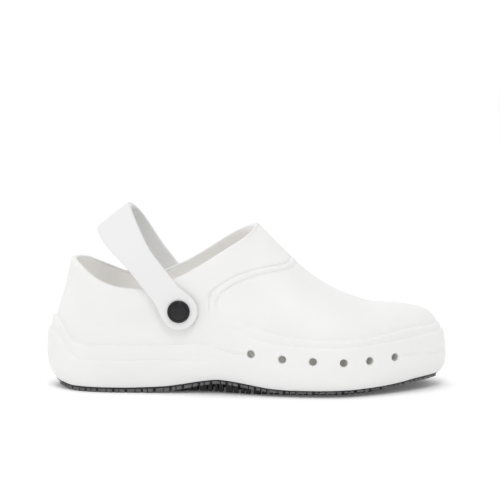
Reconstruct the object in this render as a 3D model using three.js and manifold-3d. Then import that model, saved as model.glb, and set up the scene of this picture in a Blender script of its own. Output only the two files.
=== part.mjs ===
// A moulded kitchen clog for the right foot, with a heel strap that turns on two rivets.
// Millimetres. X runs from heel to toe, +Y is the inner side of the foot, Z is up, the floor is z = 0.

import * as THREE from "three";
import { mergeGeometries } from "three/addons/utils/BufferGeometryUtils.js";
import Module from "manifold-3d";

const wasm = await Module();
wasm.setup();

// Driving dimensions of the shell
const LENGTH = 290;
const BALL_WIDTH = 107;
const THROAT_HEIGHT = 119;
const SIDE_HEIGHT = 46;
const LEDGE = 1.2;
const SIDE_LEAN = 3.3;
const UNDERCUT = 3;
const UNDERCUT_RISE = 5.5;
const UNDERCUT_SHARE = 0.3;
const LEDGE_SLOPE = 0.5;
const LEAST_SLOPE_SHARE = 0.2;
const WALL = 4.5;
const FLOOR_WALL = 4;
const RIM_ROUND = 1.3;
const RIM_DROP_POWER = 12;
const THROAT_CENTRING = 4;
const GAP = 0.3;

// Where the ridge line starts, where the toe's sections meet, and where the collar starts at the heel
const THROAT_AT = 0.531;
const TOE_CENTRE_AT = 0.82;
const COLLAR_INSET = 18;

// Driving dimensions of sole and footbed
const SOLE_THICKNESS = 3.8;
const ARCH_RISE = 7;
const TOE_SPRING = 3.8;
const LUG_HEIGHT = 2;
const LUG_EDGE_SHARE = 0.6;
const LUG_LENGTH = 8.2;
const LUG_PITCH = 11;
const LUG_REACH = 13;
const STUD_RADIUS = 6.4;
const STUD_PITCH = 16;
const STUD_MARGIN = 1.5;
const SOLE_TAPER = 1.4;
const SOLE_BAND = 2.7;
const CONTACT_SHARE = 0.6;
const FOOTBED_HEEL = 26;
const FOOTBED_FORE = 15.5;
const FOOTBED_CORNER = 2.5;
const INSOLE_THICKNESS = 4;
const INSOLE_PLAY = 0.5;

// Driving dimensions of vents, strap and rivets
const VENT_RADIUS = 2.6;
const VENT_MOUTH = 4.4;
const VENT_BEVEL = 1.7;
const PIVOT_AT = 0.343;
const PIVOT_HEIGHT = 59.8;
const STRAP_ANGLE = 52;
const STRAP_REACH = 80.5;
const STRAP_LEG = 40;
const STRAP_THICKNESS = 4.5;
const STRAP_END_RADIUS = 13.2;
const STRAP_WAIST = 20.5;
const STRAP_BACK = 29.5;
const STRAP_DRAW_IN = 0.4;
const STRAP_EDGE = 1;
const STRAP_TIP = 1.5;
const SEAT_RADIUS = 11.5;
const SEAT_PROUD = 1.6;
const RIVET_RADIUS = 4;
const CAP_RADIUS = 8;
const CAP_HEIGHT = 2.8;
const CAP_CORNER = 1;
const CAP_DOME = 0.5;
const FLANGE_THICKNESS = 2;

// How finely curves are cut: points along sections, stations along the shoe, sides of round pieces
const OUTER_STEPS = 7;
const INNER_STEPS = 4;
const RIM_SHARES = [0, 0.3, 0.7, 1];
const HEEL_STATIONS = 9;
const SIDE_STATIONS = 8;
const THROAT_STATIONS = 4;
const THROAT_RUN = 0.04;
const VAMP_STATIONS = 9;
const TOE_STATIONS = 11;
const OUTLINE_SAMPLES = 400;
const VENT_SIDES = 8;
const BORE_SIDES = 12;
const TURNED_SIDES = 20;
const STUD_SIDES = 6;
const TREAD_STATION_STEP = 3;
const STRAP_TURN_STEPS = 9;

// Places of the strap's cross sections: shares of the end radius, then shares of the straight leg
const STRAP_END_SHARES = [-1, -0.96, -0.85, -0.7, -0.5, -0.25, 0, 0.25, 0.5, 0.75];
const STRAP_LEG_SHARES = [0.35, 0.6, 0.8];

// Outline seen from above: middle line and width as shares of the ball width
const OUTLINE = [
  { at: 0.0, middle: 0.0, width: 0.7 },
  { at: 0.08, middle: 0.0, width: 0.7 },
  { at: 0.17, middle: -0.002, width: 0.712 },
  { at: 0.25, middle: -0.005, width: 0.712 },
  { at: 0.33, middle: -0.009, width: 0.718 },
  { at: 0.4, middle: -0.012, width: 0.742 },
  { at: 0.48, middle: -0.014, width: 0.81 },
  { at: 0.56, middle: -0.012, width: 0.9 },
  { at: 0.64, middle: -0.005, width: 0.972 },
  { at: 0.7, middle: 0.006, width: 1.0 },
  { at: 0.75, middle: 0.022, width: 1.0 },
  { at: 0.81, middle: 0.05, width: 0.935 },
  { at: 0.87, middle: 0.086, width: 0.89 },
  { at: 0.93, middle: 0.118, width: 0.85 },
  { at: 1.0, middle: 0.136, width: 0.8 },
];
const HEEL_ROUND = { until: 0.17, squareness: 2.2, fullness: 2.1 };
const TOE_ROUND = { from: 0.72, squareness: 2.3, fullness: 2.0 };

// Heights along the side as shares of the side height: two ledges at the heel, two at the toe
const SIDE = [
  { at: 0.0, widest: 0.59, second: 0.935, first: 1.126, low: 1.207, top: 1.283 },
  { at: 0.03, widest: 0.57, second: 0.859, first: 1.033, low: 1.126, top: 1.217 },
  { at: 0.06, widest: 0.5, second: 0.674, first: 0.843, low: 0.978, top: 1.109 },
  { at: 0.09, widest: 0.44, second: 0.513, first: 0.752, low: 0.891, top: 1.033 },
  { at: 0.12, widest: 0.42, second: 0.496, first: 0.733, low: 0.87, top: 1.011 },
  { at: 0.2, widest: 0.42, second: 0.507, first: 0.746, low: 0.88, top: 1.02 },
  { at: 0.3, widest: 0.43, second: 0.52, first: 0.759, low: 0.92, top: 1.08 },
  { at: 0.38, widest: 0.44, second: 0.522, first: 0.787, low: 0.98, top: 1.16 },
  { at: 0.44, widest: 0.41, second: 0.474, first: 0.724, low: 1.06, top: 1.25 },
  { at: 0.48, widest: 0.39, second: 0.445, first: 0.66, low: 1.0, top: 1.165 },
  { at: 0.52, widest: 0.36, second: 0.41, first: 0.64, low: 0.915, top: 1.07 },
  { at: 0.56, widest: 0.33, second: 0.38, first: 0.622, low: 0.845, top: 1.0 },
  { at: 0.62, widest: 0.3, second: 0.337, first: 0.585, low: 0.792, top: 0.92 },
  { at: 0.7, widest: 0.29, second: 0.33, first: 0.565, low: 0.77, top: 0.885 },
  { at: 0.78, widest: 0.3, second: 0.339, first: 0.563, low: 0.774, top: 0.883 },
  { at: 0.86, widest: 0.36, second: 0.4, first: 0.587, low: 0.817, top: 0.935 },
  { at: 0.93, widest: 0.44, second: 0.48, first: 0.583, low: 0.859, top: 0.991 },
  { at: 1.0, widest: 0.48, second: 0.52, first: 0.57, low: 0.891, top: 1.0 },
];

// How deep each ledge is, as shares of the ledge size, and how far the side leans in and tucks under
const DEPTH = [
  { at: 0.0, second: 1.4, first: 2.1, low: 0.0, top: 0.0, lean: 1.15, tuck: 2.2 },
  { at: 0.1, second: 1.0, first: 1.1, low: 0.0, top: 0.0, lean: 0.45, tuck: 1.0 },
  { at: 0.35, second: 0.9, first: 0.9, low: 0.0, top: 0.0, lean: 0.4, tuck: 0.8 },
  { at: 0.42, second: 0.5, first: 0.2, low: 0.0, top: 0.0, lean: 0.4, tuck: 0.8 },
  { at: 0.47, second: 0.1, first: 0.0, low: 0.1, top: 0.1, lean: 0.45, tuck: 0.8 },
  { at: 0.53, second: 0.0, first: 0.0, low: 0.8, top: 0.8, lean: 0.5, tuck: 0.8 },
  { at: 0.85, second: 0.0, first: 0.0, low: 0.9, top: 0.9, lean: 0.6, tuck: 0.8 },
  { at: 1.0, second: 0.0, first: 0.0, low: 0.9, top: 0.9, lean: 1.0, tuck: 0.5 },
];

// The ridge over the foot: its height as a share of the throat height, its sway of the ball width
const RIDGE = [
  { at: 0.5, height: 1.06, sway: 0.0 },
  { at: 0.531, height: 0.997, sway: 0.0 },
  { at: 0.549, height: 0.952, sway: 0.0 },
  { at: 0.579, height: 0.874, sway: 0.004 },
  { at: 0.609, height: 0.804, sway: 0.009 },
  { at: 0.639, height: 0.732, sway: 0.015 },
  { at: 0.669, height: 0.672, sway: 0.021 },
  { at: 0.699, height: 0.624, sway: 0.028 },
  { at: 0.729, height: 0.584, sway: 0.034 },
  { at: 0.759, height: 0.554, sway: 0.04 },
  { at: 0.789, height: 0.527, sway: 0.045 },
  { at: 0.82, height: 0.51, sway: 0.05 },
  { at: 0.86, height: 0.502, sway: 0.055 },
];

// The collar: where each station of the outline ends on it, from 0 at the heel to 1 at the throat
const COLLAR_PATH = [
  { at: 0.0, along: 0.0 },
  { at: 0.02, along: 0.014 },
  { at: 0.06, along: 0.045 },
  { at: 0.12, along: 0.137 },
  { at: 0.2, along: 0.302 },
  { at: 0.3, along: 0.515 },
  { at: 0.4, along: 0.728 },
  { at: 0.45, along: 0.832 },
  { at: 0.49, along: 0.913 },
  { at: 0.515, along: 0.968 },
  { at: 0.531, along: 1.0 },
];

// Half width as a share of the ball width, and heights of both sides as shares of the throat height
const COLLAR = [
  { at: 0.0, width: 0.335, outer: 0.772, inner: 0.772 },
  { at: 0.05, width: 0.335, outer: 0.742, inner: 0.754 },
  { at: 0.1, width: 0.335, outer: 0.7, inner: 0.724 },
  { at: 0.18, width: 0.334, outer: 0.65, inner: 0.684 },
  { at: 0.255, width: 0.333, outer: 0.622, inner: 0.653 },
  { at: 0.345, width: 0.332, outer: 0.611, inner: 0.641 },
  { at: 0.41, width: 0.331, outer: 0.615, inner: 0.645 },
  { at: 0.565, width: 0.328, outer: 0.667, inner: 0.703 },
  { at: 0.674, width: 0.325, outer: 0.729, inner: 0.768 },
  { at: 0.818, width: 0.32, outer: 0.828, inner: 0.873 },
  { at: 0.926, width: 0.313, outer: 0.908, inner: 0.95 },
  { at: 0.975, width: 0.31, outer: 0.957, inner: 0.98 },
  { at: 1.0, width: 0.31, outer: 0.997, inner: 0.997 },
];
const COLLAR_HEEL_ROUND = { until: 0.24, squareness: 2.2, fullness: 2.1 };
const COLLAR_THROAT_ROUND = { from: 0.72, squareness: 2.1, fullness: 2.0 };

// How each section bends from side to ridge or rim: the tilts in degrees, the pulls as shares
const BEND = [
  { at: 0.0, startTilt: 68, startPull: 0.33, endTilt: 77, endPull: 0.33 },
  { at: 0.08, startTilt: 78, startPull: 0.33, endTilt: 79, endPull: 0.33 },
  { at: 0.2, startTilt: 88, startPull: 0.33, endTilt: 82, endPull: 0.33 },
  { at: 0.33, startTilt: 86, startPull: 0.33, endTilt: 80, endPull: 0.33 },
  { at: 0.4, startTilt: 84, startPull: 0.35, endTilt: 74, endPull: 0.33 },
  { at: 0.45, startTilt: 82, startPull: 0.38, endTilt: 65, endPull: 0.33 },
  { at: 0.49, startTilt: 80, startPull: 0.42, endTilt: 55, endPull: 0.33 },
  { at: 0.51, startTilt: 79, startPull: 0.44, endTilt: 47, endPull: 0.33 },
  { at: 0.52, startTilt: 78, startPull: 0.45, endTilt: 40, endPull: 0.33 },
  { at: 0.528, startTilt: 78, startPull: 0.46, endTilt: 25, endPull: 0.35 },
  { at: 0.531, startTilt: 78, startPull: 0.47, endTilt: 4, endPull: 0.38 },
  { at: 0.6, startTilt: 78, startPull: 0.52, endTilt: 1, endPull: 0.44 },
  { at: 0.68, startTilt: 78, startPull: 0.59, endTilt: 0, endPull: 0.54 },
  { at: 0.76, startTilt: 76, startPull: 0.64, endTilt: 0, endPull: 0.58 },
  { at: 0.82, startTilt: 74, startPull: 0.68, endTilt: 0, endPull: 0.58 },
  { at: 1.0, startTilt: 69, startPull: 0.72, endTilt: 3, endPull: 0.52 },
];

// Lower edge of the shell as a share of the arch rise, the tread's middle as a share of the toe spring,
// and how far the tread's edges lift from the ground towards the thin band that shows at the side
const BOTTOM = [
  { at: 0.0, edge: 0.32, ground: 0.3, lift: 0.3 },
  { at: 0.03, edge: 0.22, ground: 0.16, lift: 0.2 },
  { at: 0.07, edge: 0.02, ground: 0.0, lift: 0.1 },
  { at: 0.13, edge: 0.0, ground: 0.0, lift: 0.05 },
  { at: 0.2, edge: 0.01, ground: 0.0, lift: 0.05 },
  { at: 0.26, edge: 0.1, ground: 0.0, lift: 0.05 },
  { at: 0.304, edge: 0.22, ground: 0.08, lift: 0.08 },
  { at: 0.349, edge: 0.48, ground: 0.2, lift: 0.1 },
  { at: 0.393, edge: 0.8, ground: 0.26, lift: 0.1 },
  { at: 0.438, edge: 1.0, ground: 0.22, lift: 0.15 },
  { at: 0.483, edge: 0.82, ground: 0.1, lift: 0.25 },
  { at: 0.527, edge: 0.54, ground: 0.0, lift: 0.5 },
  { at: 0.571, edge: 0.33, ground: 0.0, lift: 0.85 },
  { at: 0.615, edge: 0.26, ground: 0.0, lift: 1.0 },
  { at: 0.688, edge: 0.27, ground: 0.0, lift: 1.0 },
  { at: 0.747, edge: 0.34, ground: 0.0, lift: 0.95 },
  { at: 0.804, edge: 0.46, ground: 0.1, lift: 0.8 },
  { at: 0.848, edge: 0.63, ground: 0.28, lift: 0.7 },
  { at: 0.892, edge: 0.82, ground: 0.54, lift: 0.5 },
  { at: 0.94, edge: 1.03, ground: 0.82, lift: 0.3 },
  { at: 1.0, edge: 1.1, ground: 1.0, lift: 0.2 },
];

// Footbed: 1 is its height at the heel, 0 its height under the ball
const FOOTBED = [
  { at: 0.0, drop: 1.12 },
  { at: 0.12, drop: 1.0 },
  { at: 0.3, drop: 1.0 },
  { at: 0.42, drop: 0.72 },
  { at: 0.54, drop: 0.24 },
  { at: 0.64, drop: 0.0 },
  { at: 0.8, drop: 0.0 },
  { at: 0.92, drop: 0.12 },
  { at: 1.0, drop: 0.3 },
];

// Vents: place along the length and height as a share of the side height
const VENTS = [
  { at: 0.519, height: 0.659 },
  { at: 0.596, height: 0.593 },
  { at: 0.671, height: 0.567 },
  { at: 0.746, height: 0.554 },
  { at: 0.81, height: 0.574 },
  { at: 0.872, height: 0.607 },
];

const radians = (degrees) => (degrees * Math.PI) / 180;
const mix = (from, to, share) => from + (to - from) * share;

// A value of a table's column at a place, on a smooth curve that never leaves the rows' range
function curve(table, column, at) {
  const last = table.length - 1;
  const place = Math.min(Math.max(at, table[0].at), table[last].at);
  let row = 0;
  while (row < last - 1 && table[row + 1].at < place) row += 1;
  const slope = (index) => {
    const rise = table[index + 1][column] - table[index][column];
    return rise / (table[index + 1].at - table[index].at);
  };
  const tangent = (index) => {
    if (index === 0) return slope(0);
    if (index === last) return slope(last - 1);
    const before = slope(index - 1);
    const after = slope(index);
    return before * after <= 0 ? 0 : (2 * before * after) / (before + after);
  };
  const span = table[row + 1].at - table[row].at;
  const t = (place - table[row].at) / span;
  const ease = t * t * (3 - 2 * t);
  const start = t * (1 - t) * (1 - t) * span * tangent(row);
  const end = t * t * (1 - t) * span * tangent(row + 1);
  return mix(table[row][column], table[row + 1][column], ease) + start - end;
}

// Share of the full width that is left near a rounded end
function roundEnd(distance, reach, shape) {
  const beyond = Math.min(Math.max(1 - distance / reach, 0), 1);
  return Math.pow(1 - Math.pow(beyond, shape.squareness), 1 / shape.fullness);
}

function rawOutline(at, side) {
  const heel = roundEnd(at, HEEL_ROUND.until, HEEL_ROUND);
  const toe = roundEnd(1 - at, 1 - TOE_ROUND.from, TOE_ROUND);
  const half = (curve(OUTLINE, "width", at) / 2) * heel * toe;
  return curve(OUTLINE, "middle", at) + side * half;
}

// Widest places of both sides, so that the widest width is the ball width with the middle at y = 0
const places = Array.from({ length: OUTLINE_SAMPLES + 1 }, (_, index) => index / OUTLINE_SAMPLES);
const innermost = Math.max(...places.map((at) => rawOutline(at, 1)));
const outermost = Math.min(...places.map((at) => rawOutline(at, -1)));
const outlineScale = BALL_WIDTH / (innermost - outermost);
const outlineShift = (innermost + outermost) / 2;
const outlineY = (at, side) => (rawOutline(at, side) - outlineShift) * outlineScale;
const alongX = (at) => (at - 0.5) * LENGTH;

const edgeHeight = (at) => SOLE_THICKNESS + curve(BOTTOM, "edge", at) * ARCH_RISE;
const groundHeight = (at) => curve(BOTTOM, "ground", at) * TOE_SPRING;
const footbedHeight = (at) => mix(FOOTBED_FORE, FOOTBED_HEEL, curve(FOOTBED, "drop", at));
const sideLevel = (name, at) => curve(SIDE, name, at) * SIDE_HEIGHT;
const ledgeDepth = (name, at) => curve(DEPTH, name, at) * LEDGE;

// The ridge point over a place, and the same point on the inside of the wall
function ridgePoint(at, depth) {
  const step = 0.002;
  const height = (place) => curve(RIDGE, "height", place) * THROAT_HEIGHT;
  const fall = (height(at - step) - height(at + step)) / (2 * step * LENGTH);
  const length = Math.hypot(fall, 1);
  const x = alongX(at) - (depth * fall) / length;
  return new THREE.Vector3(x, curve(RIDGE, "sway", at) * BALL_WIDTH, height(at) - depth / length);
}

// A point of the collar's edge: depth 0 on the outside, the wall's thickness on the inside
function collarPoint(along, side, depth) {
  const heel = roundEnd(along, COLLAR_HEEL_ROUND.until, COLLAR_HEEL_ROUND);
  const throat = roundEnd(1 - along, 1 - COLLAR_THROAT_ROUND.from, COLLAR_THROAT_ROUND);
  const start = -LENGTH / 2 + COLLAR_INSET + depth;
  const end = ridgePoint(THROAT_AT, depth);
  const x = mix(start, end.x, along);
  const half = (curve(COLLAR, "width", along) * BALL_WIDTH - depth) * heel * throat;
  const name = side < 0 ? "outer" : "inner";
  const drop = (ridgePoint(THROAT_AT, 0).z - end.z) * Math.pow(along, RIM_DROP_POWER);
  const at = x / LENGTH + 0.5;
  const middle = (outlineY(at, -1) + outlineY(at, 1)) / 2;
  const y = mix(middle, end.y, Math.pow(along, THROAT_CENTRING)) + side * half;
  return new THREE.Vector3(x, y, curve(COLLAR, name, along) * THROAT_HEIGHT - drop);
}

// Where a section ends: on the collar, on the ridge, or at the centre that all toe sections share
function sectionEnd(at, side, depth) {
  if (at < THROAT_AT) return collarPoint(curve(COLLAR_PATH, "along", at), side, depth);
  return ridgePoint(Math.min(at, TOE_CENTRE_AT), depth);
}

// How far in from the outline the wall stands at a height, ledges included
function wallInset(at, height, ledges) {
  const widest = sideLevel("widest", at);
  const top = sideLevel("top", at);
  const rise = Math.max((height - widest) / (top - widest), 0);
  const passed = ledges.reduce((sum, name) => sum + ledgeDepth(name, at), 0);
  return curve(DEPTH, "lean", at) * SIDE_LEAN * rise * rise + passed;
}

const LEDGES = ["second", "first", "low", "top"];

// Points of one section from a base inset and height, bending to its end
function bendPoints(at, side, inset, height, depth, steps) {
  const base = new THREE.Vector3(alongX(at), outlineY(at, side), 0);
  const end = sectionEnd(at, side, depth);
  const inward = new THREE.Vector3(end.x - base.x, end.y - base.y, 0);
  const reach = inward.length() - inset;
  inward.normalize();
  const rise = end.z - height;
  const pull = (tilt, share) => {
    const up = Math.sin(tilt) * Math.sin(tilt);
    const length = share * (rise * up + reach * (1 - up));
    return new THREE.Vector2(Math.cos(tilt) * length, Math.sin(tilt) * length);
  };
  const start = new THREE.Vector2(0, 0);
  const finish = new THREE.Vector2(reach, rise);
  const first = pull(radians(curve(BEND, "startTilt", at)), curve(BEND, "startPull", at));
  const second = finish.clone().sub(pull(radians(curve(BEND, "endTilt", at)), curve(BEND, "endPull", at)));
  const bend = new THREE.CubicBezierCurve(start, first, second, finish);
  const points = [];
  for (let step = 1; step < steps; step += 1) {
    const point = bend.getPoint(step / steps);
    const place = base.clone().addScaledVector(inward, inset + point.x);
    points.push(place.setZ(height + point.y));
  }
  points.push(end);
  return points;
}

function insetPoint(at, side, inset, height) {
  const base = new THREE.Vector3(alongX(at), outlineY(at, side), 0);
  const end = sectionEnd(at, side, 0);
  const inward = new THREE.Vector3(end.x - base.x, end.y - base.y, 0).normalize();
  return base.addScaledVector(inward, inset).setZ(height);
}

// One outer section, from the lower edge to its end
function outerSection(at, side) {
  const tuck = curve(DEPTH, "tuck", at) * UNDERCUT;
  const points = [insetPoint(at, side, tuck, edgeHeight(at))];
  points.push(insetPoint(at, side, tuck * UNDERCUT_SHARE, edgeHeight(at) + UNDERCUT_RISE));
  points.push(insetPoint(at, side, 0, sideLevel("widest", at)));
  const passed = [];
  for (const name of LEDGES) {
    const level = sideLevel(name, at);
    const slope = LEDGE_SLOPE * Math.min(ledgeDepth(name, at) / LEDGE + LEAST_SLOPE_SHARE, 1);
    points.push(insetPoint(at, side, wallInset(at, level - slope, passed), level - slope));
    passed.push(name);
    points.push(insetPoint(at, side, wallInset(at, level + slope, passed), level + slope));
  }
  const top = sideLevel("top", at) + LEDGE_SLOPE;
  return points.concat(bendPoints(at, side, wallInset(at, top, passed), top, 0, OUTER_STEPS));
}

// One inner section, from the footbed's edge to its end
function innerSection(at, side) {
  const top = sideLevel("top", at) + LEDGE_SLOPE;
  const inset = wallInset(at, top, LEDGES) + WALL;
  const floor = footbedHeight(at);
  const points = [insetPoint(at, side, WALL + FLOOR_WALL + FOOTBED_CORNER, floor)];
  points.push(insetPoint(at, side, WALL + FLOOR_WALL / 2, floor + FOOTBED_CORNER));
  points.push(insetPoint(at, side, inset, top));
  return points.concat(bendPoints(at, side, inset, top, WALL, INNER_STEPS));
}

// The rounded edge of the collar, from the outer to the inner wall
function rimPoints(at, side) {
  const outer = sectionEnd(at, side, 0);
  const inner = sectionEnd(at, side, WALL);
  return RIM_SHARES.map((share) => {
    const lift = RIM_ROUND * Math.sqrt(1 - Math.pow(2 * share - 1, 2));
    const point = outer.clone().lerp(inner, share);
    return point.setZ(point.z + lift);
  });
}

// Stations from heel to toe, closer together where the ends are round
function stations() {
  const list = [];
  const add = (from, to, count, spacing) => {
    for (let index = 0; index < count; index += 1) list.push(mix(from, to, spacing(index / count)));
  };
  const even = (share) => share;
  const closing = (share) => Math.sin((share * Math.PI) / 2);
  const opening = (share) => 1 - Math.cos((share * Math.PI) / 2);
  add(0, HEEL_ROUND.until, HEEL_STATIONS, opening);
  add(HEEL_ROUND.until, THROAT_AT - THROAT_RUN, SIDE_STATIONS, even);
  add(THROAT_AT - THROAT_RUN, THROAT_AT, THROAT_STATIONS, closing);
  add(THROAT_AT, TOE_CENTRE_AT, VAMP_STATIONS, even);
  add(TOE_CENTRE_AT, 1, TOE_STATIONS, closing);
  list.push(1);
  return list;
}
const STATIONS = stations();

// A closed surface gathered face by face; points that coincide become one
class Skin {
  constructor() {
    this.places = [];
    this.lookup = new Map();
    this.faces = [];
  }

  index(point) {
    const key = [point.x, point.y, point.z].map((value) => Math.round(value * 1e4)).join(",");
    if (!this.lookup.has(key)) {
      this.lookup.set(key, this.places.length / 3);
      this.places.push(point.x, point.y, point.z);
    }
    return this.lookup.get(key);
  }

  triangle(a, b, c) {
    const corners = [a, b, c].map((point) => this.index(point));
    if (new Set(corners).size === 3) this.faces.push(...corners);
  }

  // Rows run side by side; the strip between two rows faces the way that turned says
  strip(rowA, rowB, turned) {
    for (let index = 0; index + 1 < rowA.length; index += 1) {
      const [a, b, c, d] = [rowA[index], rowB[index], rowB[index + 1], rowA[index + 1]];
      if (turned) {
        this.triangle(a, c, b);
        this.triangle(a, d, c);
      } else {
        this.triangle(a, b, c);
        this.triangle(a, c, d);
      }
    }
  }

  geometry() {
    const geometry = new THREE.BufferGeometry();
    geometry.setAttribute("position", new THREE.Float32BufferAttribute(this.places, 3));
    geometry.setIndex(this.faces);
    return geometry;
  }
}

// Solids for joining and cutting, from and to three.js geometry
function solidOf(geometry) {
  const skin = new Skin();
  const position = geometry.getAttribute("position");
  const corner = (index) => new THREE.Vector3().fromBufferAttribute(position, index);
  const count = geometry.index ? geometry.index.count : position.count;
  const at = (index) => (geometry.index ? geometry.index.getX(index) : index);
  for (let index = 0; index < count; index += 3) {
    skin.triangle(corner(at(index)), corner(at(index + 1)), corner(at(index + 2)));
  }
  const mesh = new wasm.Mesh({
    numProp: 3,
    vertProperties: new Float32Array(skin.places),
    triVerts: new Uint32Array(skin.faces),
  });
  return new wasm.Manifold(mesh);
}

function geometryOf(solid) {
  const mesh = solid.getMesh();
  const geometry = new THREE.BufferGeometry();
  geometry.setAttribute("position", new THREE.BufferAttribute(new Float32Array(mesh.vertProperties), 3));
  geometry.setIndex(new THREE.BufferAttribute(new Uint32Array(mesh.triVerts), 1));
  return geometry;
}

// A round bar between two points
function barGeometry(from, to, radiusFrom, radiusTo, sides) {
  const length = from.distanceTo(to);
  const geometry = new THREE.CylinderGeometry(radiusTo, radiusFrom, length, sides);
  const turn = new THREE.Quaternion();
  turn.setFromUnitVectors(new THREE.Vector3(0, 1, 0), to.clone().sub(from).normalize());
  geometry.applyQuaternion(turn);
  const middle = from.clone().lerp(to, 0.5);
  return geometry.translate(middle.x, middle.y, middle.z);
}

// The hollow shell before its holes: outside, inside, collar edge, underside and footbed
function shellGeometry() {
  const skin = new Skin();
  for (const side of [-1, 1]) {
    const turned = side > 0;
    const outer = STATIONS.map((at) => outerSection(at, side));
    const inner = STATIONS.map((at) => innerSection(at, side));
    for (let index = 0; index + 1 < STATIONS.length; index += 1) {
      skin.strip(outer[index], outer[index + 1], turned);
      skin.strip(inner[index], inner[index + 1], !turned);
      if (STATIONS[index + 1] <= THROAT_AT + 1e-9) {
        skin.strip(rimPoints(STATIONS[index], side), rimPoints(STATIONS[index + 1], side), turned);
      }
    }
  }
  for (let index = 0; index + 1 < STATIONS.length; index += 1) {
    const across = (section, place) => [section(place, -1)[0], section(place, 1)[0]];
    const here = STATIONS[index];
    const next = STATIONS[index + 1];
    skin.strip(across(outerSection, here), across(outerSection, next), true);
    skin.strip(across(innerSection, here), across(innerSection, next), false);
  }
  return skin.geometry();
}

// The outside of the wall at a place and height: a point and the direction out of it
function wallFrame(at, side, height) {
  const step = 0.004;
  const inset = wallInset(at, height, LEDGES.filter((name) => sideLevel(name, at) < height));
  const before = insetPoint(at - step, side, inset, height);
  const after = insetPoint(at + step, side, inset, height);
  const run = after.sub(before);
  const out = new THREE.Vector3(run.y, -run.x, 0).multiplyScalar(-side).normalize();
  return { point: insetPoint(at, side, inset, height), out };
}

// A vent's cutter: a straight bore with a wide bevelled mouth
function ventCutter(vent, side) {
  const { point, out } = wallFrame(vent.at, side, vent.height * SIDE_HEIGHT);
  const along = (distance) => point.clone().addScaledVector(out, distance);
  const past = 1;
  const bore = barGeometry(along(-2.5 * WALL), along(WALL), VENT_RADIUS, VENT_RADIUS, VENT_SIDES);
  const slope = (VENT_MOUTH - VENT_RADIUS) / VENT_BEVEL;
  const mouthRadius = VENT_MOUTH + slope * past;
  const mouth = barGeometry(along(-VENT_BEVEL), along(past), VENT_RADIUS, mouthRadius, VENT_SIDES);
  return solidOf(bore).add(solidOf(mouth));
}

// The strap turns about this axis; its seats stand proud of the wall on both sides. Distances across
// the shoe are from the middle between the two walls.
const PIVOT_X = alongX(PIVOT_AT);
function wallAtPivot(side) {
  const section = outerSection(PIVOT_AT, side);
  const above = section.findIndex((point) => point.z > PIVOT_HEIGHT);
  const [low, high] = [section[above - 1], section[above]];
  return mix(low.y, high.y, (PIVOT_HEIGHT - low.z) / (high.z - low.z));
}
const PIVOT_Y = (wallAtPivot(1) + wallAtPivot(-1)) / 2;
const WALL_AT_PIVOT = (wallAtPivot(1) - wallAtPivot(-1)) / 2;
const SEAT = WALL_AT_PIVOT + SEAT_PROUD;
const SEAT_BACK = WALL_AT_PIVOT - WALL - SEAT_PROUD;
const STRAP_MIDDLE = SEAT + GAP + STRAP_THICKNESS / 2;
const pivotPoint = (across) => new THREE.Vector3(PIVOT_X, PIVOT_Y + across, PIVOT_HEIGHT);

// The shell with its strap seats, the recesses for the rivets' flanges, the rivet bores and the vents
function upper() {
  let solid = solidOf(shellGeometry());
  for (const side of [-1, 1]) {
    const pivotBar = (from, to, radius, sides) =>
      solidOf(barGeometry(pivotPoint(side * from), pivotPoint(side * to), radius, radius, sides));
    solid = solid.subtract(pivotBar(SEAT_BACK - WALL, SEAT_BACK + GAP, CAP_RADIUS + GAP, TURNED_SIDES));
    solid = solid.add(pivotBar(SEAT_BACK, SEAT, SEAT_RADIUS, TURNED_SIDES));
    solid = solid.subtract(pivotBar(SEAT_BACK - WALL, SEAT + WALL, RIVET_RADIUS + GAP, BORE_SIDES));
    for (const vent of VENTS) solid = solid.subtract(ventCutter(vent, side));
  }
  return geometryOf(solid);
}

// A slab that follows the outline: a top, an underside, and another height for the underside's edges
function slabGeometry(stationList, topOf, underOf, edgeOf, topInset, underInset) {
  const skin = new Skin();
  const corner = (at, side, inset, height) => insetPoint(at, side, inset, height);
  const rows = stationList.map((at) => {
    const edge = [-1, 1].map((side) => corner(at, side, underInset(at), edgeOf(at)));
    const contact = [0, 1].map((index) => {
      const other = edge[1 - index];
      return edge[index].clone().lerp(other, (1 - CONTACT_SHARE) / 2).setZ(underOf(at));
    });
    const top = [-1, 1].map((side) => corner(at, side, topInset(at), topOf(at)));
    return [edge[0], top[0], top[1], edge[1], contact[1], contact[0], edge[0]];
  });
  for (let index = 0; index + 1 < rows.length; index += 1) skin.strip(rows[index], rows[index + 1], false);
  return skin.geometry();
}

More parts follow.
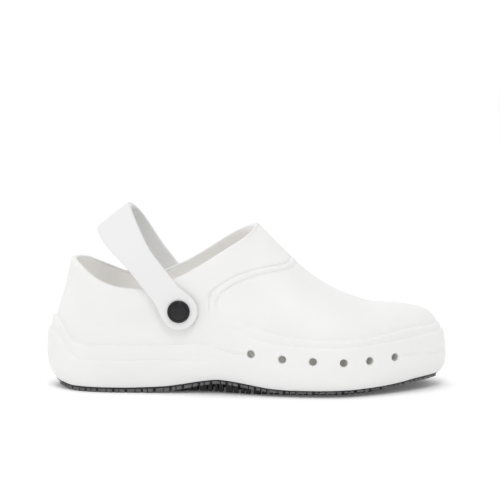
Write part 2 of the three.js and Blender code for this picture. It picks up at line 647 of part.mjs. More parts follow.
// Footprints of the tread: bars along both edges and six-sided studs between them
function treadGeometry() {
  const pieces = [];
  const tall = 2 * (SOLE_THICKNESS + ARCH_RISE + TOE_SPRING);
  const middle = alongX(0.5);
  const rows = Math.floor(LENGTH / 2 / LUG_PITCH);
  for (let row = -rows; row <= rows; row += 1) {
    const x = middle + row * LUG_PITCH;
    const at = x / LENGTH + 0.5;
    for (const side of [-1, 1]) {
      const edge = outlineY(at, side) + side * LUG_REACH;
      const inside = Math.max(side * outlineY(at, side) - UNDERCUT - LUG_REACH, GAP);
      const width = Math.abs(edge) - inside;
      const bar = new THREE.BoxGeometry(LUG_LENGTH, width, tall);
      pieces.push(bar.translate(x, side * (inside + width / 2), 0));
    }
  }
  const studRows = Math.floor(LENGTH / 2 / STUD_PITCH);
  const columns = Math.ceil(BALL_WIDTH / 2 / STUD_PITCH);
  for (let row = -studRows; row <= studRows; row += 1) {
    const x = middle + row * STUD_PITCH;
    const at = x / LENGTH + 0.5;
    const nearest = Math.min(outlineY(at, 1), -outlineY(at, -1));
    const room = nearest - UNDERCUT - LUG_REACH - STUD_RADIUS - STUD_MARGIN;
    const offset = row % 2 === 0 ? 0 : STUD_PITCH / 2;
    for (let column = -columns; column <= columns; column += 1) {
      const y = column * STUD_PITCH + offset;
      if (Math.abs(y) > room) continue;
      const stud = new THREE.CylinderGeometry(STUD_RADIUS, STUD_RADIUS, tall, STUD_SIDES);
      pieces.push(stud.rotateX(Math.PI / 2).translate(x, y, 0));
    }
  }
  return mergeGeometries(pieces.map((piece) => piece.toNonIndexed()));
}

// The sole plate with its tread, hollowed under the arch and lifted at the toe
function outsole() {
  const tuck = (at) => curve(DEPTH, "tuck", at) * UNDERCUT;
  const taper = (at) => tuck(at) + SOLE_TAPER;
  const top = (at) => edgeHeight(at) - GAP;
  const edge = (at) => mix(groundHeight(at), top(at) - SOLE_BAND, curve(BOTTOM, "lift", at));
  const under = (at) => groundHeight(at) + LUG_HEIGHT;
  const underEdge = (at) => mix(edge(at), top(at), LUG_EDGE_SHARE);
  const halfTaper = (at) => tuck(at) + SOLE_TAPER / 2;
  const plate = solidOf(slabGeometry(STATIONS, top, under, underEdge, tuck, halfTaper));
  const coarse = STATIONS.filter((at, index) => at === 1 || index % TREAD_STATION_STEP === 0);
  const within = (at) => mix(underEdge(at), top(at), 0.5);
  const band = solidOf(slabGeometry(coarse, within, groundHeight, edge, taper, taper));
  return geometryOf(band.intersect(solidOf(treadGeometry())).add(plate));
}

// A flat footbed insert that lies loose on the shell's floor
function insole() {
  const low = (at) => footbedHeight(at) + GAP;
  const high = (at) => low(at) + INSOLE_THICKNESS;
  const inset = () => WALL + FLOOR_WALL + FOOTBED_CORNER + INSOLE_PLAY;
  const crowned = (at) => inset(at) - FOOTBED_CORNER / 2;
  return slabGeometry(STATIONS, high, low, low, crowned, inset);
}

// The strap's path: distance from the pivot along the leg, and distance from the middle plane
function strapPath() {
  const path = [];
  const legInset = (distance) => (STRAP_DRAW_IN * Math.max(distance, 0)) / STRAP_LEG;
  for (const share of STRAP_END_SHARES) path.push([share * STRAP_END_RADIUS, STRAP_MIDDLE]);
  for (const share of STRAP_LEG_SHARES) {
    const distance = share * STRAP_LEG;
    path.push([distance, STRAP_MIDDLE - legInset(distance - STRAP_END_RADIUS)]);
  }
  const turn = STRAP_MIDDLE - legInset(STRAP_LEG - STRAP_END_RADIUS);
  for (let step = 0; step <= STRAP_TURN_STEPS; step += 1) {
    const angle = (step / STRAP_TURN_STEPS) * (Math.PI / 2);
    path.push([STRAP_LEG + (STRAP_REACH - STRAP_LEG) * Math.sin(angle), turn * Math.cos(angle)]);
  }
  const back = path.slice(0, -1).reverse().map(([distance, y]) => [distance, -y]);
  return path.concat(back);
}

// Half the strap's width: a round end, a waist along the leg and a broad back
function strapHalfWidth(distance) {
  const waist = STRAP_WAIST / 2;
  const round = Math.sqrt(Math.max(STRAP_END_RADIUS ** 2 - Math.min(distance, STRAP_END_RADIUS) ** 2, 0));
  const neck = mix(STRAP_END_RADIUS, waist, Math.min(Math.max(distance / STRAP_END_RADIUS, 0), 1));
  const ease = Math.min(Math.max((distance - STRAP_LEG) / (STRAP_REACH - STRAP_LEG), 0), 1);
  const body = mix(neck, STRAP_BACK / 2, ease * ease * (3 - 2 * ease));
  return distance < 0 ? round : Math.max(round, body);
}

// The strap, swept along its path, with a round hole at each end
function strap() {
  const path = strapPath();
  const angle = radians(STRAP_ANGLE);
  const legwise = new THREE.Vector3(-Math.cos(angle), 0, Math.sin(angle));
  const across = new THREE.Vector3(Math.sin(angle), 0, Math.cos(angle));
  const half = STRAP_THICKNESS / 2;
  const sections = path.map(([distance, y], index) => {
    const before = path[Math.max(index - 1, 0)];
    const after = path[Math.min(index + 1, path.length - 1)];
    const run = new THREE.Vector2(after[0] - before[0], after[1] - before[1]).normalize();
    const width = Math.max(strapHalfWidth(distance), STRAP_TIP);
    const edge = STRAP_EDGE;
    const ring = [
      [-half, -width + edge], [-half, width - edge], [-half + edge, width], [half - edge, width],
      [half, width - edge], [half, -width + edge], [half - edge, -width], [-half + edge, -width],
    ];
    const points = ring.map(([out, wide]) => {
      const place = pivotPoint(0).addScaledVector(legwise, distance - run.y * out);
      place.addScaledVector(across, wide);
      return place.setY(PIVOT_Y + y + run.x * out);
    });
    return points.concat([points[0]]);
  });
  const skin = new Skin();
  for (let index = 0; index + 1 < sections.length; index += 1) {
    skin.strip(sections[index], sections[index + 1], true);
  }
  const closeEnd = (ring, turned) => {
    for (let corner = 1; corner + 2 < ring.length; corner += 1) {
      const [b, c] = turned ? [ring[corner + 1], ring[corner]] : [ring[corner], ring[corner + 1]];
      skin.triangle(ring[0], b, c);
    }
  };
  closeEnd(sections[0], true);
  closeEnd(sections[sections.length - 1], false);
  let solid = solidOf(skin.geometry());
  const bore = RIVET_RADIUS + GAP;
  const reach = STRAP_MIDDLE + STRAP_THICKNESS;
  const hole = barGeometry(pivotPoint(-reach), pivotPoint(reach), bore, bore, BORE_SIDES);
  solid = solid.subtract(solidOf(hole));
  return geometryOf(solid);
}

// A rivet turned in one piece: domed cap, shaft through strap and wall, flange inside
function rivet(side) {
  const capFoot = SEAT + GAP + STRAP_THICKNESS + GAP;
  const flangeFace = SEAT_BACK - GAP;
  const capTop = capFoot + CAP_HEIGHT;
  const profile = [
    [0, flangeFace - FLANGE_THICKNESS],
    [CAP_RADIUS - CAP_CORNER, flangeFace - FLANGE_THICKNESS],
    [CAP_RADIUS, flangeFace - FLANGE_THICKNESS + CAP_CORNER],
    [CAP_RADIUS, flangeFace],
    [RIVET_RADIUS, flangeFace],
    [RIVET_RADIUS, capFoot],
    [CAP_RADIUS, capFoot],
    [CAP_RADIUS, capTop - CAP_CORNER - CAP_DOME],
    [CAP_RADIUS - CAP_CORNER, capTop - CAP_DOME],
    [CAP_RADIUS / 2, capTop],
    [0, capTop],
  ];
  const lathe = new THREE.LatheGeometry(profile.map(([x, y]) => new THREE.Vector2(x, y)), TURNED_SIDES);
  lathe.rotateX(side > 0 ? 0 : Math.PI);
  lathe.translate(PIVOT_X, PIVOT_Y, PIVOT_HEIGHT);
  return geometryOf(solidOf(lathe));
}

const material = (color, roughness) => new THREE.MeshStandardMaterial({ color, roughness, metalness: 0 });
const FOAM = material(0xf1f2f2, 0.55);
const RUBBER = material(0x17181a, 0.7);
const LINER = material(0x9a9ca0, 0.9);
const GLOSSY = material(0x0c0d0f, 0.15);

const clog = new THREE.Group();
function place(name, geometry, finish) {
  geometry.computeVertexNormals();
  const mesh = new THREE.Mesh(geometry, finish);
  mesh.name = name;
  clog.add(mesh);
}
place("upper", upper(), FOAM);
place("outsole", outsole(), RUBBER);
place("insole", insole(), LINER);
place("heel_strap", strap(), FOAM);
place("rivet_outer", rivet(-1), GLOSSY);
place("rivet_inner", rivet(1), GLOSSY);

export default clog;
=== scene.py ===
"""A white moulded chef clog with a raised heel strap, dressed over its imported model.

Shapes are worked out in millimetres from the same sizes and tables as the solids, only finer, and
become metres where a mesh is made.
"""

import math

import bmesh
import bpy
import numpy as np
from mathutils import Matrix, Vector


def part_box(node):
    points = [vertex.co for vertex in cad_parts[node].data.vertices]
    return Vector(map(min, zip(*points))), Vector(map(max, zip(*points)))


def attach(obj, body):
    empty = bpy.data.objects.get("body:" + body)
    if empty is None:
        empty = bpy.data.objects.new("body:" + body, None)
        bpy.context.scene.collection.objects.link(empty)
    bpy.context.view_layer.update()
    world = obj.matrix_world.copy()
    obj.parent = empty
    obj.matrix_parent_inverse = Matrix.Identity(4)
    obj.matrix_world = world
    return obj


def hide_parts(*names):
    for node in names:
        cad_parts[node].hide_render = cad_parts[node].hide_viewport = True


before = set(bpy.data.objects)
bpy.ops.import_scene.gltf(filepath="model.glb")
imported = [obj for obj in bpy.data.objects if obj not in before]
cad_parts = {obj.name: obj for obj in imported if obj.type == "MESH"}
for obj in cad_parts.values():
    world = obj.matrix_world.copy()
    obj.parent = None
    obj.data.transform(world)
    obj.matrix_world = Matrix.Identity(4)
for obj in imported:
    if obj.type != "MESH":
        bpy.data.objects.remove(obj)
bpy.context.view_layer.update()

MM = 0.001

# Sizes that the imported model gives
UPPER_LOW, UPPER_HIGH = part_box("upper")
LENGTH = (UPPER_HIGH.x - UPPER_LOW.x) / MM
BALL_WIDTH = (UPPER_HIGH.y - UPPER_LOW.y) / MM

# Driving sizes of the shell
THROAT_HEIGHT = 119
SIDE_HEIGHT = 46
LEDGE = 1.5
SIDE_LEAN = 3.3
UNDERCUT = 3
UNDERCUT_POWER = 2.6
LEDGE_SLOPE = 0.55
WALL = 4.5
FLOOR_WALL = 4
RIM_ROUND = 2.4
RIM_BOXINESS = 0.7
RIM_DROP_POWER = 12
RIM_THROAT_FADE = 0.6
RIM_STEPS = 10
THROAT_CENTRING = 4
GAP = 0.3
THROAT_AT = 0.531
TOE_CENTRE_AT = 0.82
COLLAR_INSET = 18
TINY = 1e-9

# Driving sizes of sole and footbed
SOLE_THICKNESS = 3.8
ARCH_RISE = 7
TOE_SPRING = 5.5
LUG_HEIGHT = 2
LUG_EDGE_SHARE = 0.72
LUG_REACH = 13
STUD_RADIUS = 6.4
STUD_PITCH = 16
STUD_MARGIN = 1.5
SOLE_TAPER = 1.4
SOLE_BAND = 2.7
TOE_SET_IN = 0.8
TOE_SET_IN_FROM = 0.93
THINNING = 0.3
THINNING_STARTS = (0.5, 0.65)
THINNING_ENDS = (0.85, 0.97)
HEEL_TIP = 0.05
TOE_TIP = 0.06
CONTACT_SHARE = 0.6
FOOTBED_HEEL = 26
FOOTBED_FORE = 15.5
FOOTBED_CORNER = 2.5
INSOLE_THICKNESS = 4
INSOLE_PLAY = 0.5
INSOLE_DISH = 0.5
HEEL_CUP = 1.4
HEEL_CUP_ENDS = (0.2, 0.5)

# Driving sizes of vents, strap and rivets
VENT_RADIUS = 2.6
VENT_MOUTH = 4.2
VENT_BEVEL = 1.7
PIVOT_AT = 0.343
PIVOT_HEIGHT = 59.8
STRAP_ANGLE = 52
STRAP_REACH = 80.5
STRAP_LEG = 40
STRAP_THICKNESS = 4.5
STRAP_END_RADIUS = 13.2
STRAP_WAIST = 20.5
STRAP_BACK = 29.5
STRAP_DRAW_IN = 0.4
STRAP_EDGE = 1.5
BOSS_HEIGHT = 0.35
BOSS_FLAT = 9.6
BOSS_FOOT = 10.4
SEAT_RADIUS = 11.5
SEAT_PROUD = 1.6
SEAT_EDGE = 0.6
RIVET_RADIUS = 4
CAP_RADIUS = 8
CAP_HEIGHT = 2.8
CAP_FOOT_ROUND = 0.2
CAP_CROWN = 0.4
CAP_SHOULDER_HIGH = 1.1
CAP_SHOULDER_WIDE = 1.3
RING_INSET = 1.9
RING_WIDTH = 0.5
RING_DEPTH = 0.22
FLANGE_THICKNESS = 2


def table(columns, rows):
    """Rows under named columns; the first column is the place along the shoe or the collar."""
    return dict(zip(columns.split(), np.array(rows, float).T))


OUTLINE = table("at middle width", [
    (0, 0, 0.7),
    (0.08, 0, 0.7),
    (0.17, -0.002, 0.712),
    (0.25, -0.005, 0.712),
    (0.33, -0.009, 0.718),
    (0.4, -0.012, 0.742),
    (0.48, -0.014, 0.81),
    (0.56, -0.012, 0.9),
    (0.64, -0.005, 0.972),
    (0.7, 0.006, 1),
    (0.75, 0.022, 1),
    (0.81, 0.05, 0.935),
    (0.87, 0.086, 0.89),
    (0.93, 0.118, 0.85),
    (1, 0.136, 0.8),
])
HEEL_ROUND = {"reach": 0.17, "squareness": 2.2, "fullness": 2.1}
TOE_ROUND = {"reach": 0.28, "squareness": 2.3, "fullness": 2.0}

SIDE = table("at widest second first low top", [
    (0, 0.59, 0.935, 1.126, 1.207, 1.283),
    (0.03, 0.57, 0.859, 1.033, 1.126, 1.217),
    (0.06, 0.5, 0.674, 0.843, 0.978, 1.109),
    (0.09, 0.44, 0.513, 0.752, 0.891, 1.033),
    (0.12, 0.42, 0.496, 0.733, 0.87, 1.011),
    (0.2, 0.42, 0.507, 0.746, 0.88, 1.02),
    (0.3, 0.43, 0.52, 0.759, 0.92, 1.08),
    (0.38, 0.44, 0.522, 0.787, 0.98, 1.16),
    (0.44, 0.41, 0.474, 0.724, 1.06, 1.25),
    (0.48, 0.39, 0.445, 0.66, 1, 1.165),
    (0.52, 0.36, 0.41, 0.64, 0.915, 1.07),
    (0.56, 0.33, 0.38, 0.622, 0.845, 1),
    (0.62, 0.3, 0.337, 0.585, 0.792, 0.92),
    (0.7, 0.29, 0.33, 0.565, 0.77, 0.885),
    (0.78, 0.3, 0.339, 0.563, 0.774, 0.883),
    (0.86, 0.36, 0.4, 0.587, 0.817, 0.935),
    (0.93, 0.44, 0.48, 0.583, 0.859, 0.991),
    (1, 0.48, 0.52, 0.57, 0.891, 1),
])

DEPTH = table("at second first low top lean tuck", [
    (0, 1.4, 2.1, 0, 0, 1.15, 2.2),
    (0.1, 1, 1.1, 0, 0, 0.45, 1),
    (0.35, 0.9, 0.9, 0, 0, 0.4, 0.8),
    (0.42, 0.5, 0.2, 0, 0, 0.4, 0.8),
    (0.47, 0.1, 0, 0.1, 0.1, 0.45, 0.8),
    (0.53, 0, 0, 1, 1, 0.5, 0.8),
    (0.85, 0, 0, 1.1, 1.1, 0.6, 0.8),
    (0.93, 0, 0, 1.1, 1.1, 0.8, 0.95),
    (1, 0, 0, 1.1, 1.1, 1, 1.15),
])

# A fine engraved line that carries the first ledge on towards the vents and comes back at the toe
FINE_LINE = table("at deep", [
    (0, 0),
    (0.37, 0),
    (0.41, 0.35),
    (0.49, 0.35),
    (0.53, 0),
    (0.85, 0),
    (0.89, 0.35),
    (1, 0.35),
])
FINE_LINE_WIDTH = 0.45

RIDGE = table("at height sway", [
    (0.5, 1.06, 0),
    (0.531, 0.997, 0),
    (0.549, 0.952, 0),
    (0.579, 0.874, 0.004),
    (0.609, 0.804, 0.009),
    (0.639, 0.732, 0.015),
    (0.669, 0.672, 0.021),
    (0.699, 0.624, 0.028),
    (0.729, 0.584, 0.034),
    (0.759, 0.554, 0.04),
    (0.789, 0.527, 0.045),
    (0.82, 0.51, 0.05),
    (0.86, 0.502, 0.055),
])

COLLAR_PATH = table("at along", [
    (0, 0),
    (0.02, 0.014),
    (0.06, 0.045),
    (0.12, 0.137),
    (0.2, 0.302),
    (0.3, 0.515),
    (0.4, 0.728),
    (0.45, 0.832),
    (0.49, 0.913),
    (0.515, 0.968),
    (0.531, 1),
])

COLLAR = table("at width outer inner", [
    (0, 0.335, 0.772, 0.772),
    (0.05, 0.335, 0.742, 0.754),
    (0.1, 0.335, 0.7, 0.724),
    (0.18, 0.334, 0.65, 0.684),
    (0.255, 0.333, 0.622, 0.653),
    (0.345, 0.332, 0.611, 0.641),
    (0.41, 0.331, 0.615, 0.645),
    (0.565, 0.328, 0.667, 0.703),
    (0.674, 0.325, 0.729, 0.768),
    (0.818, 0.32, 0.828, 0.873),
    (0.926, 0.313, 0.908, 0.95),
    (0.975, 0.31, 0.957, 0.98),
    (1, 0.31, 0.997, 0.997),
])
COLLAR_HEEL_ROUND = {"reach": 0.24, "squareness": 2.2, "fullness": 2.1}
COLLAR_THROAT_ROUND = {"reach": 0.28, "squareness": 2.1, "fullness": 2.0}

BEND = table("at start_tilt start_pull end_tilt end_pull", [
    (0, 68, 0.33, 77, 0.33),
    (0.08, 78, 0.33, 79, 0.33),
    (0.2, 88, 0.33, 82, 0.33),
    (0.33, 86, 0.33, 80, 0.33),
    (0.4, 84, 0.35, 74, 0.33),
    (0.45, 82, 0.38, 65, 0.33),
    (0.49, 80, 0.42, 55, 0.33),
    (0.51, 79, 0.44, 47, 0.33),
    (0.52, 78, 0.45, 40, 0.33),
    (0.528, 78, 0.46, 25, 0.35),
    (0.531, 78, 0.47, 4, 0.38),
    (0.6, 78, 0.52, 1, 0.44),
    (0.68, 78, 0.59, 0, 0.54),
    (0.76, 76, 0.64, 0, 0.58),
    (0.82, 74, 0.68, 0, 0.58),
    (1, 69, 0.72, 3, 0.52),
])

BOTTOM = table("at edge ground lift", [
    (0, 0.32, 0.3, 0.95),
    (0.03, 0.22, 0.16, 0.8),
    (0.07, 0.02, 0, 0.3),
    (0.13, 0, 0, 0.05),
    (0.2, 0.01, 0, 0.05),
    (0.26, 0.1, 0, 0.15),
    (0.304, 0.22, 0.06, 0.45),
    (0.349, 0.48, 0.14, 0.8),
    (0.393, 0.8, 0.18, 0.95),
    (0.438, 1, 0.15, 1),
    (0.483, 0.82, 0.07, 1),
    (0.527, 0.54, 0, 1),
    (0.571, 0.29, 0, 1),
    (0.615, 0.2, 0, 1),
    (0.688, 0.19, 0, 1),
    (0.747, 0.23, 0.03, 1),
    (0.804, 0.31, 0.15, 1),
    (0.848, 0.42, 0.36, 1),
    (0.892, 0.6, 0.62, 1),
    (0.94, 0.86, 0.88, 1),
    (1, 1.02, 1, 1),
])

FOOTBED = table("at drop", [
    (0, 1.12),
    (0.12, 1),
    (0.3, 1),
    (0.42, 0.72),
    (0.54, 0.24),
    (0.64, 0),
    (0.8, 0),
    (0.92, 0.12),
    (1, 0.3),
])

VENTS = table("at height", [
    (0.519, 0.659),
    (0.596, 0.593),
    (0.671, 0.567),
    (0.746, 0.545),
    (0.81, 0.553),
    (0.872, 0.579),
])
VENT_COUNT = len(VENTS["at"])

# Two engraved lines across the instep, seen from the side and from their low ends to the ridge: places
# along the shoe and shares of the throat's height
GROOVE_OUTER = [
    (0.4138, 0.4538), (0.4131, 0.5034), (0.4131, 0.5479), (0.4162, 0.5933), (0.4314, 0.6387),
    (0.4648, 0.6908), (0.499, 0.7261), (0.5359, 0.7504), (0.5621, 0.7622), (0.5897, 0.7681),
    (0.6045, 0.7748), (0.611, 0.7882), (0.611, 0.8067), (0.609, 0.8277),
]
GROOVE_INNER = [
    (0.4297, 0.4874), (0.4314, 0.5462), (0.4369, 0.5849), (0.4521, 0.6235), (0.4824, 0.6664),
    (0.5072, 0.6908), (0.5345, 0.7126), (0.5552, 0.7244), (0.5828, 0.7353), (0.6086, 0.7429),
    (0.6214, 0.7529), (0.6272, 0.7647), (0.6286, 0.7782), (0.6276, 0.7983),
]
GROOVE_WIDTH = 0.75
GROOVE_DEEP = 1.25
BAND_RAISE = 0.3
GROOVE_FADE = {"none_below": 55, "full_above": 66}
BAND_FADE = {"full_within": 5.2, "none_beyond": 7.5}
SHELL_CENTRE = (0, 0, 40)

# Evening of the shell's surface near the throat
EVEN_REACH = {"full_within": 0.05, "none_beyond": 0.1}
EVEN_PASSES = 90
EVEN_END_POWER = 8
OUTER_LEAD = 0.5
INNER_LEAD = 0.6


def curve(rows, column, at):
    """A column's value at some places, on a smooth curve that never leaves the rows' range."""
    places = rows["at"]
    values = rows[column]
    place = np.clip(np.asarray(at, float), places[0], places[-1])
    row = np.clip(np.searchsorted(places[1:], place, side="left"), 0, len(places) - 2)
    slope = np.diff(values) / np.diff(places)
    before = slope[:-1]
    after = slope[1:]
    total = np.where(before * after > 0, before + after, 1)
    inside = np.where(before * after > 0, 2 * before * after / total, 0)
    tangent = np.concatenate([[slope[0]], inside, [slope[-1]]])
    span = places[row + 1] - places[row]
    t = (place - places[row]) / span
    ease = t * t * (3 - 2 * t)
    start = t * (1 - t) ** 2 * span * tangent[row]
    end = t * t * (1 - t) * span * tangent[row + 1]
    return mix(values[row], values[row + 1], ease) + start - end


def mix(first, second, share):
    return first + (second - first) * share


def quarter_turn(count):
    return np.linspace(0, math.pi / 2, count)


def smooth_step(low, high, value):
    share = np.clip((value - low) / (high - low), 0, 1)
    return share * share * (3 - 2 * share)


def round_end(distance, shape):
    """Share of the full width that is left near a rounded end."""
    beyond = np.clip(1 - distance / shape["reach"], 0, 1)
    return (1 - beyond ** shape["squareness"]) ** (1 / shape["fullness"])


def raw_outline(at, side):
    half = curve(OUTLINE, "width", at) / 2
    half = half * round_end(at, HEEL_ROUND) * round_end(1 - at, TOE_ROUND)
    return curve(OUTLINE, "middle", at) + side * half


SAMPLES = np.linspace(0, 1, 401)
INNERMOST = raw_outline(SAMPLES, 1).max()
OUTERMOST = raw_outline(SAMPLES, -1).min()


def outline_y(at, side):
    scale = BALL_WIDTH / (INNERMOST - OUTERMOST)
    return (raw_outline(at, side) - (INNERMOST + OUTERMOST) / 2) * scale


def along_x(at):
    return (np.asarray(at, float) - 0.5) * LENGTH


def edge_height(at):
    return SOLE_THICKNESS + curve(BOTTOM, "edge", at) * ARCH_RISE


def ground_height(at):
    return curve(BOTTOM, "ground", at) * TOE_SPRING


def footbed_height(at):
    return mix(FOOTBED_FORE, FOOTBED_HEEL, curve(FOOTBED, "drop", at))


def side_level(name, at):
    return curve(SIDE, name, at) * SIDE_HEIGHT


def points(x, y, z):
    x, y, z = np.broadcast_arrays(x, y, z)
    return np.stack([x, y, z], axis=-1)


def ridge_point(at, depth):
    """The ridge over a place, and the same point on the inside of the wall."""
    step = 0.002
    height = curve(RIDGE, "height", at) * THROAT_HEIGHT
    ahead = curve(RIDGE, "height", at + step) * THROAT_HEIGHT
    behind = curve(RIDGE, "height", at - step) * THROAT_HEIGHT
    fall = (behind - ahead) / (2 * step * LENGTH)
    length = np.hypot(fall, 1)
    return points(
        along_x(at) - depth * fall / length,
        curve(RIDGE, "sway", at) * BALL_WIDTH,
        height - depth / length,
    )


def collar_point(along, side, depth):
    """A point of the collar's edge: depth 0 on the outside, the wall's thickness on the inside."""
    heel = round_end(along, COLLAR_HEEL_ROUND)
    throat = round_end(1 - along, COLLAR_THROAT_ROUND)
    top = ridge_point(THROAT_AT, 0)
    end = ridge_point(THROAT_AT, depth)
    x = mix(-LENGTH / 2 + COLLAR_INSET + depth, end[0], along)
    half = (curve(COLLAR, "width", along) * BALL_WIDTH - depth) * heel * throat
    name = "outer" if side < 0 else "inner"
    drop = (top[2] - end[2]) * along ** RIM_DROP_POWER
    at = x / LENGTH + 0.5
    middle = (outline_y(at, -1) + outline_y(at, 1)) / 2
    y = mix(middle, end[1], along ** THROAT_CENTRING) + side * half
    return points(x, y, curve(COLLAR, name, along) * THROAT_HEIGHT - drop)


def section_end(at, side, depth):
    """Where a section ends: on the collar, on the ridge, or at the centre of the toe's sections."""
    on_collar = collar_point(curve(COLLAR_PATH, "along", at), side, depth)
    on_ridge = ridge_point(np.minimum(at, TOE_CENTRE_AT), depth)
    return np.where((at < THROAT_AT - TINY)[..., None], on_collar, on_ridge)


def inset_points(at, side, inset, height):
    """Points at some distances in from the outline, towards where the section ends."""
    base = points(along_x(at), outline_y(at, side), 0)
    end = section_end(at, side, 0)
    inward = end[..., :2] - base[..., :2]
    inward = inward / np.linalg.norm(inward, axis=-1, keepdims=True)
    spot = base[..., :2] + inward * np.asarray(inset)[..., None]
    return points(spot[..., 0], spot[..., 1], height)


def wall_inset(at, height):
    """How far in from the outline the side stands: undercut, lean, ledges and the fine line."""
    edge = edge_height(at)
    widest = side_level("widest", at)
    top = side_level("top", at)
    below = np.clip(1 - (height - edge) / (widest - edge), 0, 1)
    inset = curve(DEPTH, "tuck", at) * UNDERCUT * below ** UNDERCUT_POWER
    rise = np.clip((height - widest) / (top - widest), 0, None)
    inset = inset + curve(DEPTH, "lean", at) * SIDE_LEAN * rise * rise
    for name in ("second", "first", "low", "top"):
        level = side_level(name, at)
        passed = smooth_step(level - LEDGE_SLOPE, level + LEDGE_SLOPE, height)
        inset = inset + curve(DEPTH, name, at) * LEDGE * passed
    from_line = (height - side_level("first", at)) / FINE_LINE_WIDTH
    return inset + curve(FINE_LINE, "deep", at) * np.exp(-from_line * from_line)


def bend_points(at, side, inset, height, depth, count):
    """Points on the bend from the top of the side to the section's end."""
    base = points(along_x(at), outline_y(at, side), 0)[..., :2]
    end = section_end(at, side, depth)
    inward = end[..., :2] - base
    far = np.linalg.norm(inward, axis=-1)
    inward = inward / far[..., None]
    reach = far - inset
    rise = end[..., 2] - height

    def pull(which):
        tilt = np.radians(curve(BEND, which + "_tilt", at))
        up = np.sin(tilt) ** 2
        length = curve(BEND, which + "_pull", at) * (rise * up + reach * (1 - up))
        return np.stack([np.cos(tilt) * length, np.sin(tilt) * length], axis=-1)

    finish = np.stack([reach, rise], axis=-1)
    first = pull("start")
    second = finish - pull("end")
    t = np.arange(1, count + 1) / count
    weights = [3 * (1 - t) ** 2 * t, 3 * (1 - t) * t * t, t ** 3]
    flat = sum(w[None, :, None] * p[:, None, :] for w, p in zip(weights, (first, second, finish)))
    spot = base[:, None, :] + inward[:, None, :] * (inset[:, None] + flat[..., 0])[..., None]
    return points(spot[..., 0], spot[..., 1], height[:, None] + flat[..., 1])


# How many rows lie between the lower edge and each level of the side, just below it and just above it
SIDE_ROWS = [("widest", 0, 8), ("second", -1, 4), ("second", 1, 6), ("first", -1, 5), ("first", 1, 7),
             ("low", -1, 4), ("low", 1, 6), ("top", -1, 4), ("top", 1, 6)]
BEND_ROWS = 110
CORNER_STEPS = 8
WALL_STEPS = 8
INNER_BEND_ROWS = 26


def outer_sections(at, side):
    """The outside of the shell: a row of points for each station, from lower edge to its end."""
    low = edge_height(at)
    heights = [low]
    for name, way, count in SIDE_ROWS:
        high = side_level(name, at) + way * LEDGE_SLOPE
        for step in range(1, count + 1):
            heights.append(mix(low, high, step / count))
        low = high
    heights = np.stack(heights, axis=1)
    grid_at = np.repeat(at[:, None], heights.shape[1], axis=1)
    lower = inset_points(grid_at, side, wall_inset(grid_at, heights), heights)
    bend = bend_points(at, side, wall_inset(at, low), low, 0, BEND_ROWS)
    return np.concatenate([lower, bend], axis=1)


def inner_sections(at, side):
    """The inside of the wall, from the footbed's edge up to the collar or the ridge."""
    floor = footbed_height(at)
    top = side_level("top", at) + LEDGE_SLOPE
    foot = WALL + FLOOR_WALL / 2
    inset = wall_inset(at, top) + WALL
    rows = []
    for step in range(CORNER_STEPS + 1):
        turn = step / CORNER_STEPS * math.pi / 2
        corner = foot + (FLOOR_WALL / 2 + FOOTBED_CORNER) * (1 - math.sin(turn))
        rows.append(inset_points(at, side, corner, floor + FOOTBED_CORNER * (1 - math.cos(turn))))
    for step in range(1, WALL_STEPS + 1):
        share = step / WALL_STEPS
        height = mix(floor + FOOTBED_CORNER, top, share)
        rows.append(inset_points(at, side, mix(foot, inset, share), height))
    bend = bend_points(at, side, inset, top, WALL, INNER_BEND_ROWS)
    return np.concatenate([np.stack(rows, axis=1), bend], axis=1)


def rim_rows(at, side):
    """The rounded edge of the collar, from the outer to the inner wall."""
    outer = section_end(at, side, 0)
    inner = section_end(at, side, WALL)
    turn = np.linspace(0, math.pi, RIM_STEPS + 1)
    share = (1 - np.cos(turn)) / 2
    rows = outer[:, None, :] + (inner - outer)[:, None, :] * share[None, :, None]
    bump = RIM_ROUND * (1 - RIM_THROAT_FADE * curve(COLLAR_PATH, "along", at) ** RIM_DROP_POWER)
    rows[..., 2] += bump[:, None] * np.clip(np.sin(turn), 0, 1)[None, :] ** RIM_BOXINESS
    return rows


# How many stations lie on each round end of the shoe, and evenly on each stretch between them
HEEL_STATIONS = 34
TOE_STATIONS = 40
EVEN_STATIONS = [
    (HEEL_ROUND["reach"], 0.4, 27),
    (0.4, THROAT_AT, 43),
    (THROAT_AT, 0.66, 43),
    (0.66, TOE_CENTRE_AT, 23),
]


def stations():
    """Places along the shoe, close together at the round ends and where the instep is engraved."""
    ease_in = 1 - np.cos(quarter_turn(HEEL_STATIONS + 1)[:-1])
    ease_out = np.sin(quarter_turn(TOE_STATIONS))
    parts = [ease_in * HEEL_ROUND["reach"]]
    for start, end, count in EVEN_STATIONS:
        parts.append(np.linspace(start, end, count + 1)[:-1])
    parts.append(TOE_CENTRE_AT + ease_out * (1 - TOE_CENTRE_AT))
    return np.concatenate(parts)


def distance_to_path(x, z, path):
    """Distance in the side view from some places to a path of straight stretches."""
    least = np.full(np.shape(x), 1e9)
    for (x0, z0), (x1, z1) in zip(path, path[1:]):
        run_x = x1 - x0
        run_z = z1 - z0
        share = np.clip(((x - x0) * run_x + (z - z0) * run_z) / (run_x ** 2 + run_z ** 2), 0, 1)
        least = np.minimum(least, np.hypot(x - x0 - share * run_x, z - z0 - share * run_z))
    return least


